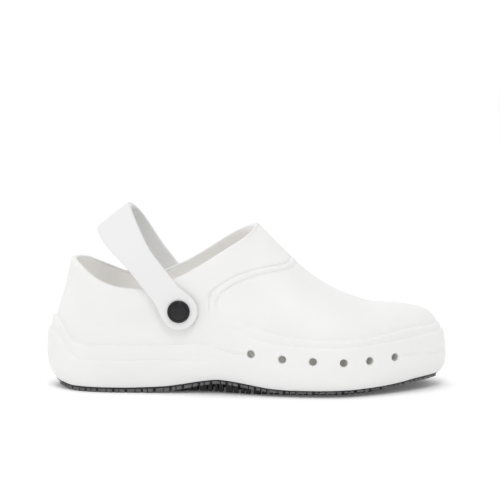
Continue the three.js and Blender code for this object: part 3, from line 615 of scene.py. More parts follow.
def smooth_path(rows, each=6):
    """A smooth curve in millimetres that meets places that are shares of length and throat height."""
    spots = np.array(rows)
    spots = np.stack([along_x(spots[:, 0]), spots[:, 1] * THROAT_HEIGHT], axis=1)
    padded = np.vstack([2 * spots[0] - spots[1], spots, 2 * spots[-1] - spots[-2]])
    out = []
    for index in range(1, len(padded) - 2):
        before, here, there, after = padded[index - 1:index + 3]
        for t in np.arange(each) / each:
            out.append(0.5 * (2 * here + (there - before) * t
                              + (2 * before - 5 * here + 4 * there - after) * t * t
                              + (3 * here - before - 3 * there + after) * t ** 3))
    return [*out, spots[-1]]


GROOVE_PATHS = [smooth_path(GROOVE_OUTER), smooth_path(GROOVE_INNER)]


def engrave(grid):
    """Cuts the two lines into the instep and raises the band between them."""
    x = grid[..., 0]
    z = grid[..., 2]
    outer, inner = (distance_to_path(x, z, path) for path in GROOVE_PATHS)
    shown = smooth_step(GROOVE_FADE["none_below"], GROOVE_FADE["full_above"], z)
    deep = np.exp(-(outer / GROOVE_WIDTH) ** 2) + np.exp(-(inner / GROOVE_WIDTH) ** 2)
    between = smooth_step(BAND_FADE["none_beyond"], BAND_FADE["full_within"], outer + inner)
    move = (BAND_RAISE * between - GROOVE_DEEP * deep) * shown
    along = np.gradient(grid, axis=0)
    up = np.gradient(grid, axis=1)
    normal = np.cross(along, up)
    length = np.linalg.norm(normal, axis=-1, keepdims=True)
    normal = normal / np.maximum(length, TINY)
    outward = np.sign(np.sum(normal * (grid - SHELL_CENTRE), axis=-1, keepdims=True))
    return grid + normal * outward * move[..., None]


def even_throat(grid, places, lead):
    """Evens a surface along the shoe where its sections pass from the collar to the ridge.

    A stretch at the sections' low end is left alone: the lead, as a share of the rest.
    """
    beyond = np.abs(places - THROAT_AT)
    near = 1 - smooth_step(EVEN_REACH["full_within"], EVEN_REACH["none_beyond"], beyond)
    share = np.clip(np.linspace(-lead, 1, grid.shape[1]), 0, 1)
    weight = near[:, None] * (smooth_step(0, 0.2, share) * (1 - share ** EVEN_END_POWER))[None, :]
    grid = grid.copy()
    for _ in range(EVEN_PASSES):
        pull = (grid[:-2] + grid[2:]) / 2 - grid[1:-1]
        grid[1:-1] += 0.5 * weight[1:-1, :, None] * pull
    return grid


# Which material a face of the shell takes
WHITE = 0
# Faces of the inside take a brighter, warmer copy of the foam: painted light
INSIDE = 1
# Faces of the vents' bores take a grey copy of the foam: painted shade
BORE_PAINTED_SHADE = 2


class Skin:
    """A closed surface gathered strip by strip; points that coincide become one."""

    def __init__(self):
        self.places = []
        self.faces = []
        self.tones = []
        self.count = 0

    def grid(self, rows, turned, tone=WHITE):
        rows = np.asarray(rows, float)
        lines, across = rows.shape[:2]
        index = np.arange(lines * across).reshape(lines, across) + self.count
        self.places.append(rows.reshape(-1, 3))
        self.count += lines * across
        quads = np.stack([index[:-1, :-1], index[1:, :-1], index[1:, 1:], index[:-1, 1:]], axis=-1)
        quads = quads.reshape(-1, 4)
        self.faces.append(quads[:, ::-1] if turned else quads)
        self.tones.append(np.full(len(quads), tone))

    def object(self, name):
        places = np.concatenate(self.places)
        faces = np.concatenate(self.faces)
        _, first, back = np.unique(np.round(places, 4), axis=0, return_index=True, return_inverse=True)
        faces = back.reshape(-1)[faces]
        return mesh_object(name, places[first], faces, np.concatenate(self.tones))


def new_object(name, data):
    """An object of some data, linked to the scene."""
    obj = bpy.data.objects.new(name, data)
    bpy.context.scene.collection.objects.link(obj)
    return obj


def mesh_object(name, places, faces, tones):
    """A mesh from millimetre points; repeated corners of a face are dropped."""
    corners = []
    kept_tones = []
    for face, tone in zip(np.asarray(faces).tolist(), tones.tolist()):
        kept = list(dict.fromkeys(face))
        if len(kept) > 2:
            corners.append(kept)
            kept_tones.append(tone)
    mesh = bpy.data.meshes.new(name)
    mesh.from_pydata((np.asarray(places) * MM).tolist(), [], corners)
    mesh.polygons.foreach_set("material_index", kept_tones)
    mesh.validate()
    return new_object(name, mesh)


def finish_mesh(obj, sharp_degrees=40):
    """Outward faces, smooth shading and hard edges only where faces meet at a steep angle."""
    work = bmesh.new()
    work.from_mesh(obj.data)
    bmesh.ops.dissolve_degenerate(work, edges=work.edges, dist=1e-7)
    bmesh.ops.recalc_face_normals(work, faces=work.faces)
    limit = math.radians(sharp_degrees)
    for face in work.faces:
        face.smooth = True
    for edge in work.edges:
        edge.smooth = len(edge.link_faces) == 2 and edge.calc_face_angle(0) < limit
    work.to_mesh(obj.data)
    work.free()
    return obj


def skinned(name, rows):
    """A finished piece from one strip of rows that closes on itself."""
    skin = Skin()
    skin.grid(rows, False)
    return finish_mesh(skin.object(name))


def lathe(name, profile, start, direction, sides):
    """A piece turned about an axis: profile rows are (distance along the axis, radius)."""
    axis = Vector(direction).normalized()
    turn = Vector((0, 0, 1)).rotation_difference(axis).to_matrix()
    angle = np.linspace(0, 2 * math.pi, sides + 1)
    rows = []
    for distance, radius in profile:
        ring = points(np.cos(angle) * radius, np.sin(angle) * radius, distance)
        ring[-1] = ring[0]
        rows.append(ring)
    return skinned(name, np.array(rows) @ np.array(turn).T + np.array(start, float))


def combine(target, others, operation):
    """Joins other solids to a solid, or cuts them out of it, and removes them."""
    for other in others:
        step = target.modifiers.new("solid", "BOOLEAN")
        step.operation = operation
        step.solver = "MANIFOLD"
        step.object = other
        apply_modifiers(target)
        bpy.data.objects.remove(other)
    return target


def apply_modifiers(obj):
    graph = bpy.context.evaluated_depsgraph_get()
    mesh = bpy.data.meshes.new_from_object(obj.evaluated_get(graph))
    obj.modifiers.clear()
    old = obj.data
    obj.data = mesh
    bpy.data.meshes.remove(old)


def wall_frame(at, side, height):
    """A point on the outside of the wall and the level direction out of it."""
    step = 0.004
    places = np.array([at - step, at, at + step])
    inset = wall_inset(np.array([at]), np.array([height]))[0]
    before, here, after = inset_points(places, side, inset, height)
    run = after - before
    out = np.array([run[1], -run[0], 0]) * -side
    return here, out / np.linalg.norm(out)


def vent_frame(number, side):
    return wall_frame(VENTS["at"][number], side, VENTS["height"][number] * SIDE_HEIGHT)


def vent_cutter(number, side):
    """A straight bore whose mouth flares in a soft round."""
    here, out = vent_frame(number, side)
    inner_end = -2.5 * WALL
    outer_end = 1.5
    profile = [(inner_end, 0), (inner_end, VENT_RADIUS)]
    for turn in quarter_turn(8):
        radius = mix(VENT_RADIUS, VENT_MOUTH, 1 - math.cos(turn))
        profile.append((-VENT_BEVEL * (1 - math.sin(turn)), radius))
    profile += [(outer_end, VENT_MOUTH + 0.4), (outer_end, 0)]
    return lathe(f"vent_{number}_{side}", profile, here, out, sides=32)


def wall_at_pivot(side):
    section = outer_sections(np.array([PIVOT_AT]), side)[0]
    return float(np.interp(PIVOT_HEIGHT, section[:, 2], section[:, 1]))


PIVOT = (float(along_x(PIVOT_AT)), (wall_at_pivot(1) + wall_at_pivot(-1)) / 2, PIVOT_HEIGHT)
WALL_AT_PIVOT = (wall_at_pivot(1) - wall_at_pivot(-1)) / 2
SEAT = WALL_AT_PIVOT + SEAT_PROUD
SEAT_BACK = WALL_AT_PIVOT - WALL - SEAT_PROUD
STRAP_MIDDLE = SEAT + GAP + STRAP_THICKNESS / 2


def pivot_bar(name, side, start, end, radius, edge=0.0):
    """A round bar about the strap's axis, between two distances from the middle."""
    profile = [(start, 0), (start, radius), (end - edge, radius)]
    if edge:
        profile.append((end - edge * 0.3, radius - edge * 0.3))
    profile += [(end, radius - edge), (end, 0)]
    return lathe(name, profile, PIVOT, (0, side, 0), sides=48)


def paint_vent_bore_shade(upper):
    """Paints shade into the walls of the vents' bores: they take a grey copy of the foam."""
    centres = np.empty(len(upper.data.polygons) * 3)
    upper.data.polygons.foreach_get("center", centres)
    centres = centres.reshape(-1, 3) / MM
    tones = np.empty(len(centres), int)
    upper.data.polygons.foreach_get("material_index", tones)
    for side in (-1, 1):
        for number in range(VENT_COUNT):
            here, out = vent_frame(number, side)
            along = (centres - here) @ out
            away = np.linalg.norm(centres - here - along[:, None] * out, axis=1)
            tones[(away < VENT_RADIUS + 0.15) & (np.abs(along) < 2 * WALL)] = BORE_PAINTED_SHADE
    upper.data.polygons.foreach_set("material_index", tones)


def shell_surface():
    """The shell's closed surface, with the engraved instep, before seats and holes."""
    places = stations()
    on_collar = places[places <= THROAT_AT + TINY]
    skin = Skin()
    for side in (-1, 1):
        turned = side > 0
        outer = engrave(even_throat(outer_sections(places, side), places, OUTER_LEAD))
        outer[:, -1] = section_end(places, side, 0)
        skin.grid(outer, turned)
        skin.grid(even_throat(inner_sections(places, side), places, INNER_LEAD), not turned, INSIDE)
        skin.grid(rim_rows(on_collar, side), turned)
    share = np.linspace(0, 1, 13)[None, :, None]
    for sections, turned, tone in ((outer_sections, True, WHITE), (inner_sections, False, INSIDE)):
        left = sections(places, -1)[:, :1]
        right = sections(places, 1)[:, :1]
        skin.grid(mix(left, right, share), turned, tone)
    return finish_mesh(skin.object("upper_shell"))


def make_upper(materials):
    """The moulded shell: one hollow solid with its strap seats, rivet bores and vents."""
    upper = shell_surface()
    for material in materials:
        upper.data.materials.append(material)
    for side in (-1, 1):
        recess = pivot_bar("recess", side, SEAT_BACK - WALL, SEAT_BACK + GAP, CAP_RADIUS + GAP)
        combine(upper, [recess], "DIFFERENCE")
        seat = pivot_bar("seat", side, SEAT_BACK, SEAT, SEAT_RADIUS, SEAT_EDGE)
        combine(upper, [seat], "UNION")
        bore = pivot_bar("bore", side, SEAT_BACK - WALL, SEAT + WALL, RIVET_RADIUS + GAP)
        vents = [vent_cutter(number, side) for number in range(VENT_COUNT)]
        combine(upper, [bore, *vents], "DIFFERENCE")
    paint_vent_bore_shade(upper)
    return finish_mesh(upper, sharp_degrees=38)


def strap_path():
    """The strap's run from end to end: distances from the pivot along the leg and from the middle."""
    def leg_inset(distance):
        return STRAP_DRAW_IN * np.maximum(distance, 0) / STRAP_LEG

    round_part = -np.cos(quarter_turn(22)) * STRAP_END_RADIUS
    straight = np.linspace(0, STRAP_LEG, 34)[1:-1]
    leg = np.concatenate([round_part, straight])
    away = STRAP_MIDDLE - leg_inset(leg - STRAP_END_RADIUS)
    turn = STRAP_MIDDLE - leg_inset(STRAP_LEG - STRAP_END_RADIUS)
    angle = quarter_turn(40)
    around = np.stack([STRAP_LEG + (STRAP_REACH - STRAP_LEG) * np.sin(angle), turn * np.cos(angle)], axis=1)
    half = np.concatenate([np.stack([leg, away], axis=1), around])
    other_half = half[:-1][::-1] * (1, -1)
    return np.concatenate([half, other_half])


def strap_half_width(distance):
    """Half the strap's width: round at the end, narrow at the waist, broad at the back."""
    reach = np.minimum(distance, STRAP_END_RADIUS)
    round_width = np.sqrt(np.maximum(STRAP_END_RADIUS ** 2 - reach ** 2, 0))
    neck = mix(STRAP_END_RADIUS, STRAP_WAIST / 2, smooth_step(0, STRAP_END_RADIUS * 1.3, distance))
    body = mix(neck, STRAP_BACK / 2, smooth_step(STRAP_LEG, STRAP_REACH, distance))
    return np.where(distance < 0, round_width, np.maximum(round_width, body))


def strap_ring():
    """The strap's section, all round.

    Each row holds the face (-1 inside, 1 outside), a share of the flat width, and for a rounded edge
    how far it lies below the face and beyond the flat, as shares of the edge's round.
    """
    flat = np.linspace(-1, 1, 15)
    quarter = quarter_turn(6)[1:-1]
    ring = []
    for face in (-1, 1):
        edge = -face
        ring += [(face, share * edge, 0, 0) for share in flat]
        ring += [(face, edge, 1 - math.cos(turn), edge * math.sin(turn)) for turn in quarter]
        ring += [(-face, edge, 1 - math.sin(turn), edge * math.cos(turn)) for turn in quarter]
    return ring


def strap_surface():
    """The strap's surface as rows that run from end to end, with a low round boss at each rivet."""
    path = strap_path()
    leg, away = path.T
    run = np.gradient(path, axis=0)
    run /= np.linalg.norm(run, axis=1, keepdims=True)
    angle = math.radians(STRAP_ANGLE)
    legwise = np.array([-math.cos(angle), 0, math.sin(angle)])
    across = np.array([math.sin(angle), 0, math.cos(angle)])
    width = np.maximum(strap_half_width(leg), 0.4)
    edge = np.minimum(STRAP_EDGE, width * 0.9)
    near_end = np.abs(away) > STRAP_MIDDLE - 1
    rows = []
    for face, share, below, beyond in strap_ring():
        out = face * (STRAP_THICKNESS / 2 - edge * below)
        wide = share * (width - edge) + beyond * edge
        if face > 0 and below == 0:
            boss = 1 - smooth_step(BOSS_FLAT, BOSS_FOOT, np.hypot(leg, wide))
            out = out + BOSS_HEIGHT * boss * near_end
        place = PIVOT + legwise * (leg - run[:, 1] * out)[:, None] + across * wide[:, None]
        place[:, 1] += away + run[:, 0] * out
        rows.append(place)
    rows.append(rows[0])
    return np.stack(rows, axis=1)


def make_strap():
    """The heel strap: its surface, closed at both round ends, with a bore for each rivet."""
    grid = strap_surface()
    skin = Skin()
    skin.grid(grid, True)
    for end in (grid[0], grid[-1]):
        middle = np.repeat(end[:-1].mean(axis=0)[None, :], len(end), axis=0)
        skin.grid(np.stack([end, middle]), False)
    strap = finish_mesh(skin.object("heel_strap_body"))
    start = STRAP_MIDDLE - STRAP_THICKNESS
    end = STRAP_MIDDLE + STRAP_THICKNESS
    holes = [pivot_bar("strap_hole", side, start, end, RIVET_RADIUS + GAP) for side in (-1, 1)]
    return finish_mesh(combine(strap, holes, "DIFFERENCE"), sharp_degrees=38)


def make_rivet(name, side):
    """A rivet with a softly domed cap inside a fine ring, a shaft and a flange."""
    cap_foot = SEAT + GAP + STRAP_THICKNESS + GAP
    flange_face = SEAT_BACK - GAP
    flange_back = flange_face - FLANGE_THICKNESS
    top = cap_foot + CAP_HEIGHT
    brim = top - CAP_CROWN
    shoulder = brim - CAP_SHOULDER_HIGH
    ring = CAP_RADIUS - RING_INSET
    profile = [
        (flange_back, 0),
        (flange_back, CAP_RADIUS - 0.8),
        (flange_back + 0.3, CAP_RADIUS - 0.2),
        (flange_back + 0.8, CAP_RADIUS),
        (flange_face - CAP_FOOT_ROUND, CAP_RADIUS),
        (flange_face, CAP_RADIUS - CAP_FOOT_ROUND),
        (flange_face, RIVET_RADIUS),
        (cap_foot, RIVET_RADIUS),
        (cap_foot, CAP_RADIUS - CAP_FOOT_ROUND),
        (cap_foot + CAP_FOOT_ROUND, CAP_RADIUS),
        (shoulder, CAP_RADIUS),
    ]
    for turn in quarter_turn(8)[1:]:
        radius = CAP_RADIUS - CAP_SHOULDER_WIDE * (1 - math.cos(turn))
        profile.append((shoulder + CAP_SHOULDER_HIGH * math.sin(turn), radius))
    profile += [(brim, ring + RING_WIDTH / 2), (brim - RING_DEPTH, ring), (brim, ring - RING_WIDTH / 2)]
    for share in (0.9, 0.75, 0.55, 0.35, 0.15, 0):
        profile.append((brim + CAP_CROWN * (1 - share * share), (ring - 0.3) * share))
    return lathe(name, profile, PIVOT, (0, side, 0), sides=72)


def sole_tuck(at):
    return curve(DEPTH, "tuck", at) * UNDERCUT + TOE_SET_IN * smooth_step(TOE_SET_IN_FROM, 1, at)


def sole_band(at):
    """Height of the rubber that shows under the foam's edge, less under the ball."""
    thin = smooth_step(*THINNING_STARTS, at) - smooth_step(*THINNING_ENDS, at)
    return SOLE_BAND * (1 - THINNING * thin)


def sole_top(at):
    return edge_height(at) - GAP


def tread_edge(at):
    return mix(ground_height(at), sole_top(at) - sole_band(at), curve(BOTTOM, "lift", at))


def under_edge(at):
    return mix(tread_edge(at), sole_top(at), LUG_EDGE_SHARE)


def make_sole_plate():
    """The rubber plate: flat on top, hollowed between its edge and the line where the tread bears."""
    places = stations()
    tuck = sole_tuck(places)
    top = {}
    under = {}
    for side in (-1, 1):
        top[side] = inset_points(places, side, tuck, sole_top(places))
        under[side] = inset_points(places, side, tuck + SOLE_TAPER / 2, under_edge(places))
    rows = [under[-1], mix(under[-1], top[-1], 0.5)]
    for share in np.linspace(0, 1, 9):
        rows.append(mix(top[-1], top[1], share))
    rows += [mix(under[1], top[1], 0.5), under[1]]
    margin = (1 - CONTACT_SHARE) / 2
    tips = smooth_step(1 - TOE_TIP, 1, places) + 1 - smooth_step(0, HEEL_TIP, places)
    plate = mix(ground_height(places) + LUG_HEIGHT, under_edge(places), tips)
    for share in (margin * 0.5, margin, 0.35, 0.5, 0.65, 1 - margin, 1 - margin * 0.5):
        row = mix(under[1], under[-1], share)
        into = smooth_step(0, margin, min(share, 1 - share))
        row[:, 2] = mix(under_edge(places), plate, into)
        rows.append(row)
    rows.append(under[-1])
    return skinned("sole_plate", np.stack(rows, axis=1))


# One repeat of the tread's edge: lengths of the bars, each with the gap that follows it
EDGE_BARS = [(5.4, 0.9), (3.4, 2.0), (2.6, 1.0), (3.4, 2.2)]
HEEL_END_FREE = 17
TOE_END_FREE = 13
INNER_END_FREE = 8
INNER_ROW_SHIFT = 2
BAR_DEPTH = 6
BAR_ROOT = 0.4
BAR_DRAFT = 0.15
MIDDLE_FREE = 4
ROW_GAP = 1.2
INNER_ROW_LIFT = 0.9
STUD_CHAMFER = 0.35
STUD_DIMPLE = 0.7


def edge_bar(at, side, inner):
    """One bar over neighbouring places: of the raised outer row, or of the inner row."""
    outer = sole_tuck(at) + SOLE_TAPER / 2
    low = tread_edge(at)
    high = under_edge(at) + BAR_ROOT
    foot = ground_height(at) + LUG_HEIGHT
    if inner:
        outer = outer + BAR_DEPTH + ROW_GAP
        low = ground_height(at) + INNER_ROW_LIFT * smooth_step(*THINNING_STARTS, at)
        high = mix(high, foot, 0.3)
    room = np.maximum(np.abs(outline_y(at, side)) - MIDDLE_FREE, outer + 1)
    reach = np.minimum(outer + BAR_DEPTH, room)
    section = [(outer, high), (outer + BAR_DRAFT, low), (reach, low), (reach, mix(high, foot, 0.4))]
    corners = [inset_points(at, side, inset, height) for inset, height in section]
    count = len(at)
    faces = []
    for corner in range(4):
        following = (corner + 1) % 4
        for step in range(count - 1):
            here = corner * count + step
            over = following * count + step
            faces.append((here, here + 1, over + 1, over))
    faces.append(tuple(corner * count for corner in range(4)))
    faces.append(tuple(corner * count + count - 1 for corner in range(3, -1, -1)))
    return np.concatenate(corners).tolist(), faces


def edge_bars(side, inner):
    """All bars of one row along one edge, at even steps of the outline's own length."""
    fine = np.linspace(0, 1, 1601)
    run = np.hypot(np.diff(along_x(fine)), np.diff(outline_y(fine, side)))
    length = np.concatenate([[0], np.cumsum(run)])
    start = HEEL_END_FREE
    end = length[-1] - TOE_END_FREE
    number = 0
    if inner:
        end -= INNER_END_FREE
        number = INNER_ROW_SHIFT
    while start < end:
        bar, gap = EDGE_BARS[number % len(EDGE_BARS)]
        spots = np.linspace(start, start + bar, 4)
        yield edge_bar(np.interp(spots, length, fine), side, inner)
        start += bar + gap
        number += 1


def hexagon_stud(x, y, at):
    """A six-sided stud with a chamfer and a shallow dimple."""
    ground = float(ground_height(at))
    rings = [
        (STUD_RADIUS, ground + LUG_HEIGHT + 0.3),
        (STUD_RADIUS, ground + STUD_CHAMFER),
        (STUD_RADIUS - STUD_CHAMFER, ground),
        (STUD_RADIUS * 0.55, ground),
        (STUD_RADIUS * 0.45, ground + STUD_DIMPLE),
    ]
    corners = []
    for radius, height in rings:
        for number in range(6):
            angle = math.radians(30 + 60 * number)
            corners.append((x + radius * math.cos(angle), y + radius * math.sin(angle), height))
    last = 6 * (len(rings) - 1)
    faces = [tuple(range(6)), tuple(range(last + 5, last - 1, -1))]
    for base in range(0, last, 6):
        for number in range(6):
            here = base + number
            there = base + (number + 1) % 6
            faces.append((here, there, there + 6, here + 6))
    return corners, faces


def studs():
    """The studs: rows across the sole, every other one shifted, where they clear the bars."""
    rows = int(LENGTH / 2 / STUD_PITCH)
    for row in range(-rows, rows + 1):
        x = row * STUD_PITCH
        at = x / LENGTH + 0.5
        nearest = min(float(outline_y(at, 1)), -float(outline_y(at, -1)))
        room = nearest - UNDERCUT - LUG_REACH - STUD_RADIUS - STUD_MARGIN
        shift = STUD_PITCH / 2 if row % 2 else 0
        for column in range(-4, 5):
            y = column * STUD_PITCH + shift
            if abs(y) <= room:
                yield hexagon_stud(x, y, at)


def make_tread(name, pieces):
    """One object from closed bars or studs, with their edges softened."""
    places = []
    faces = []
    for corners, sides in pieces:
        base = len(places)
        places.extend(corners)
        faces.extend(tuple(base + corner for corner in side) for side in sides)
    mesh = bpy.data.meshes.new("tread")
    mesh.from_pydata((np.array(places, float) * MM).tolist(), [], faces)
    tread = new_object(name, mesh)
    soften = tread.modifiers.new("soften", "BEVEL")
    soften.width = 0.25 * MM
    soften.segments = 2
    soften.limit_method = "ANGLE"
    apply_modifiers(tread)
    return finish_mesh(tread, sharp_degrees=30)


def make_edge_tread():
    return make_tread("sole_tread_edge", [*edge_bars(-1, False), *edge_bars(1, False)])


def make_inner_tread():
    return make_tread("sole_tread_inner", [*edge_bars(-1, True), *edge_bars(1, True), *studs()])


def make_insole():
    """The loose footbed: a dished pad with a shallow cup under the heel."""
    places = stations()
    low = footbed_height(places) + GAP
    high = low + INSOLE_THICKNESS
    inset = WALL + FLOOR_WALL + FOOTBED_CORNER + INSOLE_PLAY
    edges = {}
    for side in (-1, 1):
        edges[side] = [
            inset_points(places, side, inset + more, height)
            for more, height in ((0, low), (-FOOTBED_CORNER / 2, mix(low, high, 0.6)), (0, high))
        ]
    rows = list(edges[-1])
    cup = 1 - smooth_step(*HEEL_CUP_ENDS, places)
    for share in np.linspace(0, 1, 33)[1:-1]:
        row = mix(edges[-1][-1], edges[1][-1], share)
        bowl = math.sin(math.pi * share) ** 1.5
        row[:, 2] -= bowl * (INSOLE_DISH + HEEL_CUP * cup) * smooth_step(0, HEEL_TIP, places)
        rows.append(row)
    rows += edges[1][::-1]
    for share in np.linspace(1, 0, 9)[1:]:
        rows.append(mix(edges[-1][0], edges[1][0], share))
    return skinned("insole_pad", np.stack(rows, axis=1))


def new_node(tree, kind, **inputs):
    node = tree.nodes.new("ShaderNode" + kind)
    set_inputs(tree, node, inputs)
    return node


def set_inputs(tree, node, inputs):
    """Gives each named input its value, or a link where the value is another node's socket."""
    for name, value in inputs.items():
        socket = node.inputs[name.replace("_", " ")]
        if isinstance(value, bpy.types.NodeSocket):
            tree.links.new(value, socket)
        else:
            socket.default_value = value


class Nodes:
    """A material, and short ways to build its nodes."""

    def __init__(self, name):
        self.material = bpy.data.materials.new(name)
        self.material.use_nodes = True
        self.tree = self.material.node_tree
        self.shader = self.tree.nodes["Principled BSDF"]
        self.place = new_node(self.tree, "TexCoord").outputs["Object"]

    def noise(self, size_mm, detail, rough=0.5):
        node = new_node(self.tree, "TexNoise", Scale=1 / (size_mm * MM), Vector=self.place)
        set_inputs(self.tree, node, {"Detail": detail, "Roughness": rough})
        return node.outputs["Fac"]

    def waves(self, size_mm, direction):
        """Straight waves; at a scale of 1 one wave is 0.314 metres long."""
        node = new_node(self.tree, "TexWave", Scale=0.314 / (size_mm * MM), Vector=self.place)
        node.bands_direction = direction
        return node.outputs["Fac"]

    def spread(self, source, low, high):
        return new_node(self.tree, "MapRange", To_Min=low, To_Max=high, Value=source).outputs["Result"]

    def ramp(self, source, first, second):
        node = new_node(self.tree, "ValToRGB", Fac=source)
        for stop, position, tint in zip(node.color_ramp.elements, (0.3, 0.7), (first, second)):
            stop.position = position
            stop.color = (*tint, 1)
        return node.outputs["Color"]

    def bump(self, source, height_mm, strength, under=None):
        node = new_node(self.tree, "Bump", Strength=strength, Distance=height_mm * MM, Height=source)
        if under:
            self.tree.links.new(under, node.inputs["Normal"])
        return node.outputs["Normal"]

    def finish(self, **inputs):
        """Sets the shader's own inputs and hands the material over."""
        set_inputs(self.tree, self.shader, inputs)
        return self.material


# Strength of a painted glow given to the foam inside the shell and in the vents' bores, to brighten them
PAINTED_INSIDE_GLOW = 0.045


def foam(name, tint, painted_glow=0.0):
    """Moulded foam with a soft sheen, a barely pebbled skin and, where asked, a painted glow."""
    nodes = Nodes(name)
    broad = nodes.bump(nodes.noise(14, 2), 0.12, 0.5)
    return nodes.finish(
        Base_Color=nodes.ramp(nodes.noise(30, 3), tint, [value * 1.025 for value in tint]),
        Roughness=nodes.spread(nodes.noise(6, 4), 0.42, 0.56),
        Normal=nodes.bump(nodes.noise(0.9, 3, 0.6), 0.05, 0.5, broad),
        IOR=1.4,
        Subsurface_Weight=0.15,
        Subsurface_Radius=(1, 0.92, 0.85),
        Subsurface_Scale=0.006,
        Coat_Weight=0.06,
        Coat_Roughness=0.35,
        # Painted light: the foam glows by itself, though it is no lamp
        Emission_Color=(1, 0.97, 0.92, 1),
        Emission_Strength=painted_glow,
    )


def rubber(name, dark, light):
    """Matt rubber in a range between two greys."""
    nodes = Nodes(name)
    return nodes.finish(
        Base_Color=nodes.ramp(nodes.noise(5, 4), (dark, dark, dark * 1.03), (light, light, light * 1.03)),
        Roughness=nodes.spread(nodes.noise(2, 3), 0.5, 0.68),
        Normal=nodes.bump(nodes.noise(0.5, 3), 0.06, 0.6),
        IOR=1.35,
    )


def liner_grey():
    """A woven, matt lining."""
    nodes = Nodes("liner_grey")
    along = nodes.bump(nodes.waves(0.9, "X"), 0.18, 0.8)
    return nodes.finish(
        Base_Color=nodes.ramp(nodes.noise(1.2, 4), (0.76, 0.75, 0.72), (0.86, 0.85, 0.82)),
        Roughness=nodes.spread(nodes.noise(1.5, 2), 0.8, 0.95),
        Normal=nodes.bump(nodes.waves(0.9, "Y"), 0.18, 0.8, along),
        Sheen_Weight=0.25,
        Sheen_Roughness=0.5,
    )


def gloss_black():
    """Smooth black plastic."""
    nodes = Nodes("gloss_black")
    return nodes.finish(
        Base_Color=nodes.ramp(nodes.noise(8, 2), (0.006, 0.006, 0.007), (0.012, 0.012, 0.014)),
        Roughness=nodes.spread(nodes.noise(3, 4), 0.12, 0.22),
        Normal=nodes.bump(nodes.noise(2.5, 2), 0.02, 0.3),
        IOR=1.34,
        Coat_Weight=0.12,
        Coat_Roughness=0.05,
    )


def floor_white():
    """A matt floor with a faint light of its own."""
    nodes = Nodes("floor_white")
    return nodes.finish(
        Base_Color=nodes.ramp(nodes.noise(400, 1), (0.96, 0.96, 0.96), (0.97, 0.97, 0.97)),
        Roughness=0.9,
        Specular_IOR_Level=0.1,
        Emission_Strength=0.07,
    )


def dress(piece, material, node):
    """Gives a piece its material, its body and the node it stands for."""
    if not piece.data.materials:
        piece.data.materials.append(material)
    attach(piece, "root")
    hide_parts(node)


# The photograph's view: degrees, and metres from a target point
CAMERA_AZIMUTH = 3
CAMERA_ELEVATION = 6.5
CAMERA_DISTANCE = 1.5
CAMERA_TARGET = (0.00269, 0, 0.09897)
CAMERA_LENS = 149.3


def make_camera():
    """The photograph's view: low, from the outer side, a little towards the toe."""
    azimuth = math.radians(CAMERA_AZIMUTH)
    elevation = math.radians(CAMERA_ELEVATION)
    level = math.cos(elevation)
    back = Vector((math.sin(azimuth) * level, -math.cos(azimuth) * level, math.sin(elevation)))
    right = Vector((math.cos(azimuth), math.sin(azimuth), 0))
    data = bpy.data.cameras.new("camera")
    data.sensor_width = 36
    data.lens = CAMERA_LENS
    camera = new_object("camera", data)
    axes = Matrix((right, back.cross(right), back)).transposed()
    place = Vector(CAMERA_TARGET) + back * CAMERA_DISTANCE
    camera.matrix_world = Matrix.Translation(place) @ axes.to_4x4()
    bpy.context.scene.camera = camera


def make_light(name, place, target, size, power):
    data = bpy.data.lights.new(name, "AREA")
    data.shape = "DISK"
    data.size = size
    data.energy = power
    light = new_object(name, data)
    light.location = place
    light.rotation_euler = (Vector(target) - Vector(place)).to_track_quat("-Z", "Y").to_euler()


# The world's brightness is the sum of these: an axis, a range of directions along it, and the
# brightness at both ends of the range
WORLD_LIGHT = [
    ("X", (-1, 0), (-0.15, 0)),
    ("X", (0, 1), (0, -0.4)),
    ("Y", (-1, -0.2), (0.86, 1.12)),
]


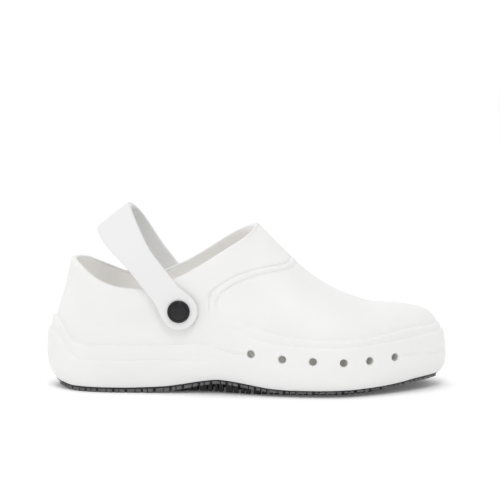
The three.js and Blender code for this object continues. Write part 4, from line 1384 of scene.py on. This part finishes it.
def make_world():
    """White light from all around: fullest behind the shoe, less in front and beyond heel and toe."""
    world = bpy.data.worlds.new("studio")
    world.use_nodes = True
    tree = world.node_tree
    way = new_node(tree, "SeparateXYZ", Vector=new_node(tree, "TexCoord").outputs["Generated"])
    total = None
    for axis, (start, end), (low, high) in WORLD_LIGHT:
        part = new_node(tree, "MapRange", Value=way.outputs[axis], From_Min=start, From_Max=end)
        set_inputs(tree, part, {"To Min": low, "To Max": high})
        result = part.outputs["Result"]
        if total:
            both = new_node(tree, "Math")
            tree.links.new(total, both.inputs[0])
            tree.links.new(result, both.inputs[1])
            result = both.outputs["Value"]
        total = result
    set_inputs(tree, tree.nodes["Background"], {"Color": (1, 1, 1, 1), "Strength": total})
    bpy.context.scene.world = world


def make_studio():
    """A plain white floor and one soft key light, under a white sky."""
    mesh = bpy.data.meshes.new("floor")
    size = 6.0
    mesh.from_pydata([(-size, -size, 0), (size, -size, 0), (size, size, 0), (-size, size, 0)], [],
                     [(0, 1, 2, 3)])
    mesh.materials.append(floor_white())
    floor = new_object("floor", mesh)
    make_world()
    make_light("key", (0.15, -1.2, 1.7), (0, 0, 0.05), size=0.6, power=6.5)
    bpy.context.scene.view_settings.view_transform = "Standard"


def make_shoe():
    """All pieces, each dressed in its material."""
    white = foam("foam_white", (0.815, 0.815, 0.808))
    # The inside is the same foam, painted brighter and warmer and given the painted glow: painted light
    inside = foam("foam_inside_painted_light", (0.93, 0.915, 0.89), PAINTED_INSIDE_GLOW)
    # The vents' bores are the same white foam, painted grey for the shade inside the holes: painted shade
    bore = foam("foam_bore_painted_shade", (0.52, 0.52, 0.5), PAINTED_INSIDE_GLOW)
    dress(make_upper([white, inside, bore]), white, "upper")
    dress(make_strap(), white, "heel_strap")
    black = rubber("rubber_black", 0.022, 0.036)
    dress(make_sole_plate(), black, "outsole")
    dress(make_inner_tread(), black, "outsole")
    # The outer row's lug faces take a lighter grey than the black plate and inner row: painted sheen
    dress(make_edge_tread(), rubber("rubber_painted_sheen", 0.1, 0.15), "outsole")
    dress(make_insole(), liner_grey(), "insole")
    gloss = gloss_black()
    dress(make_rivet("rivet_cap_outer", -1), gloss, "rivet_outer")
    dress(make_rivet("rivet_cap_inner", 1), gloss, "rivet_inner")


make_camera()
make_studio()
make_shoe()
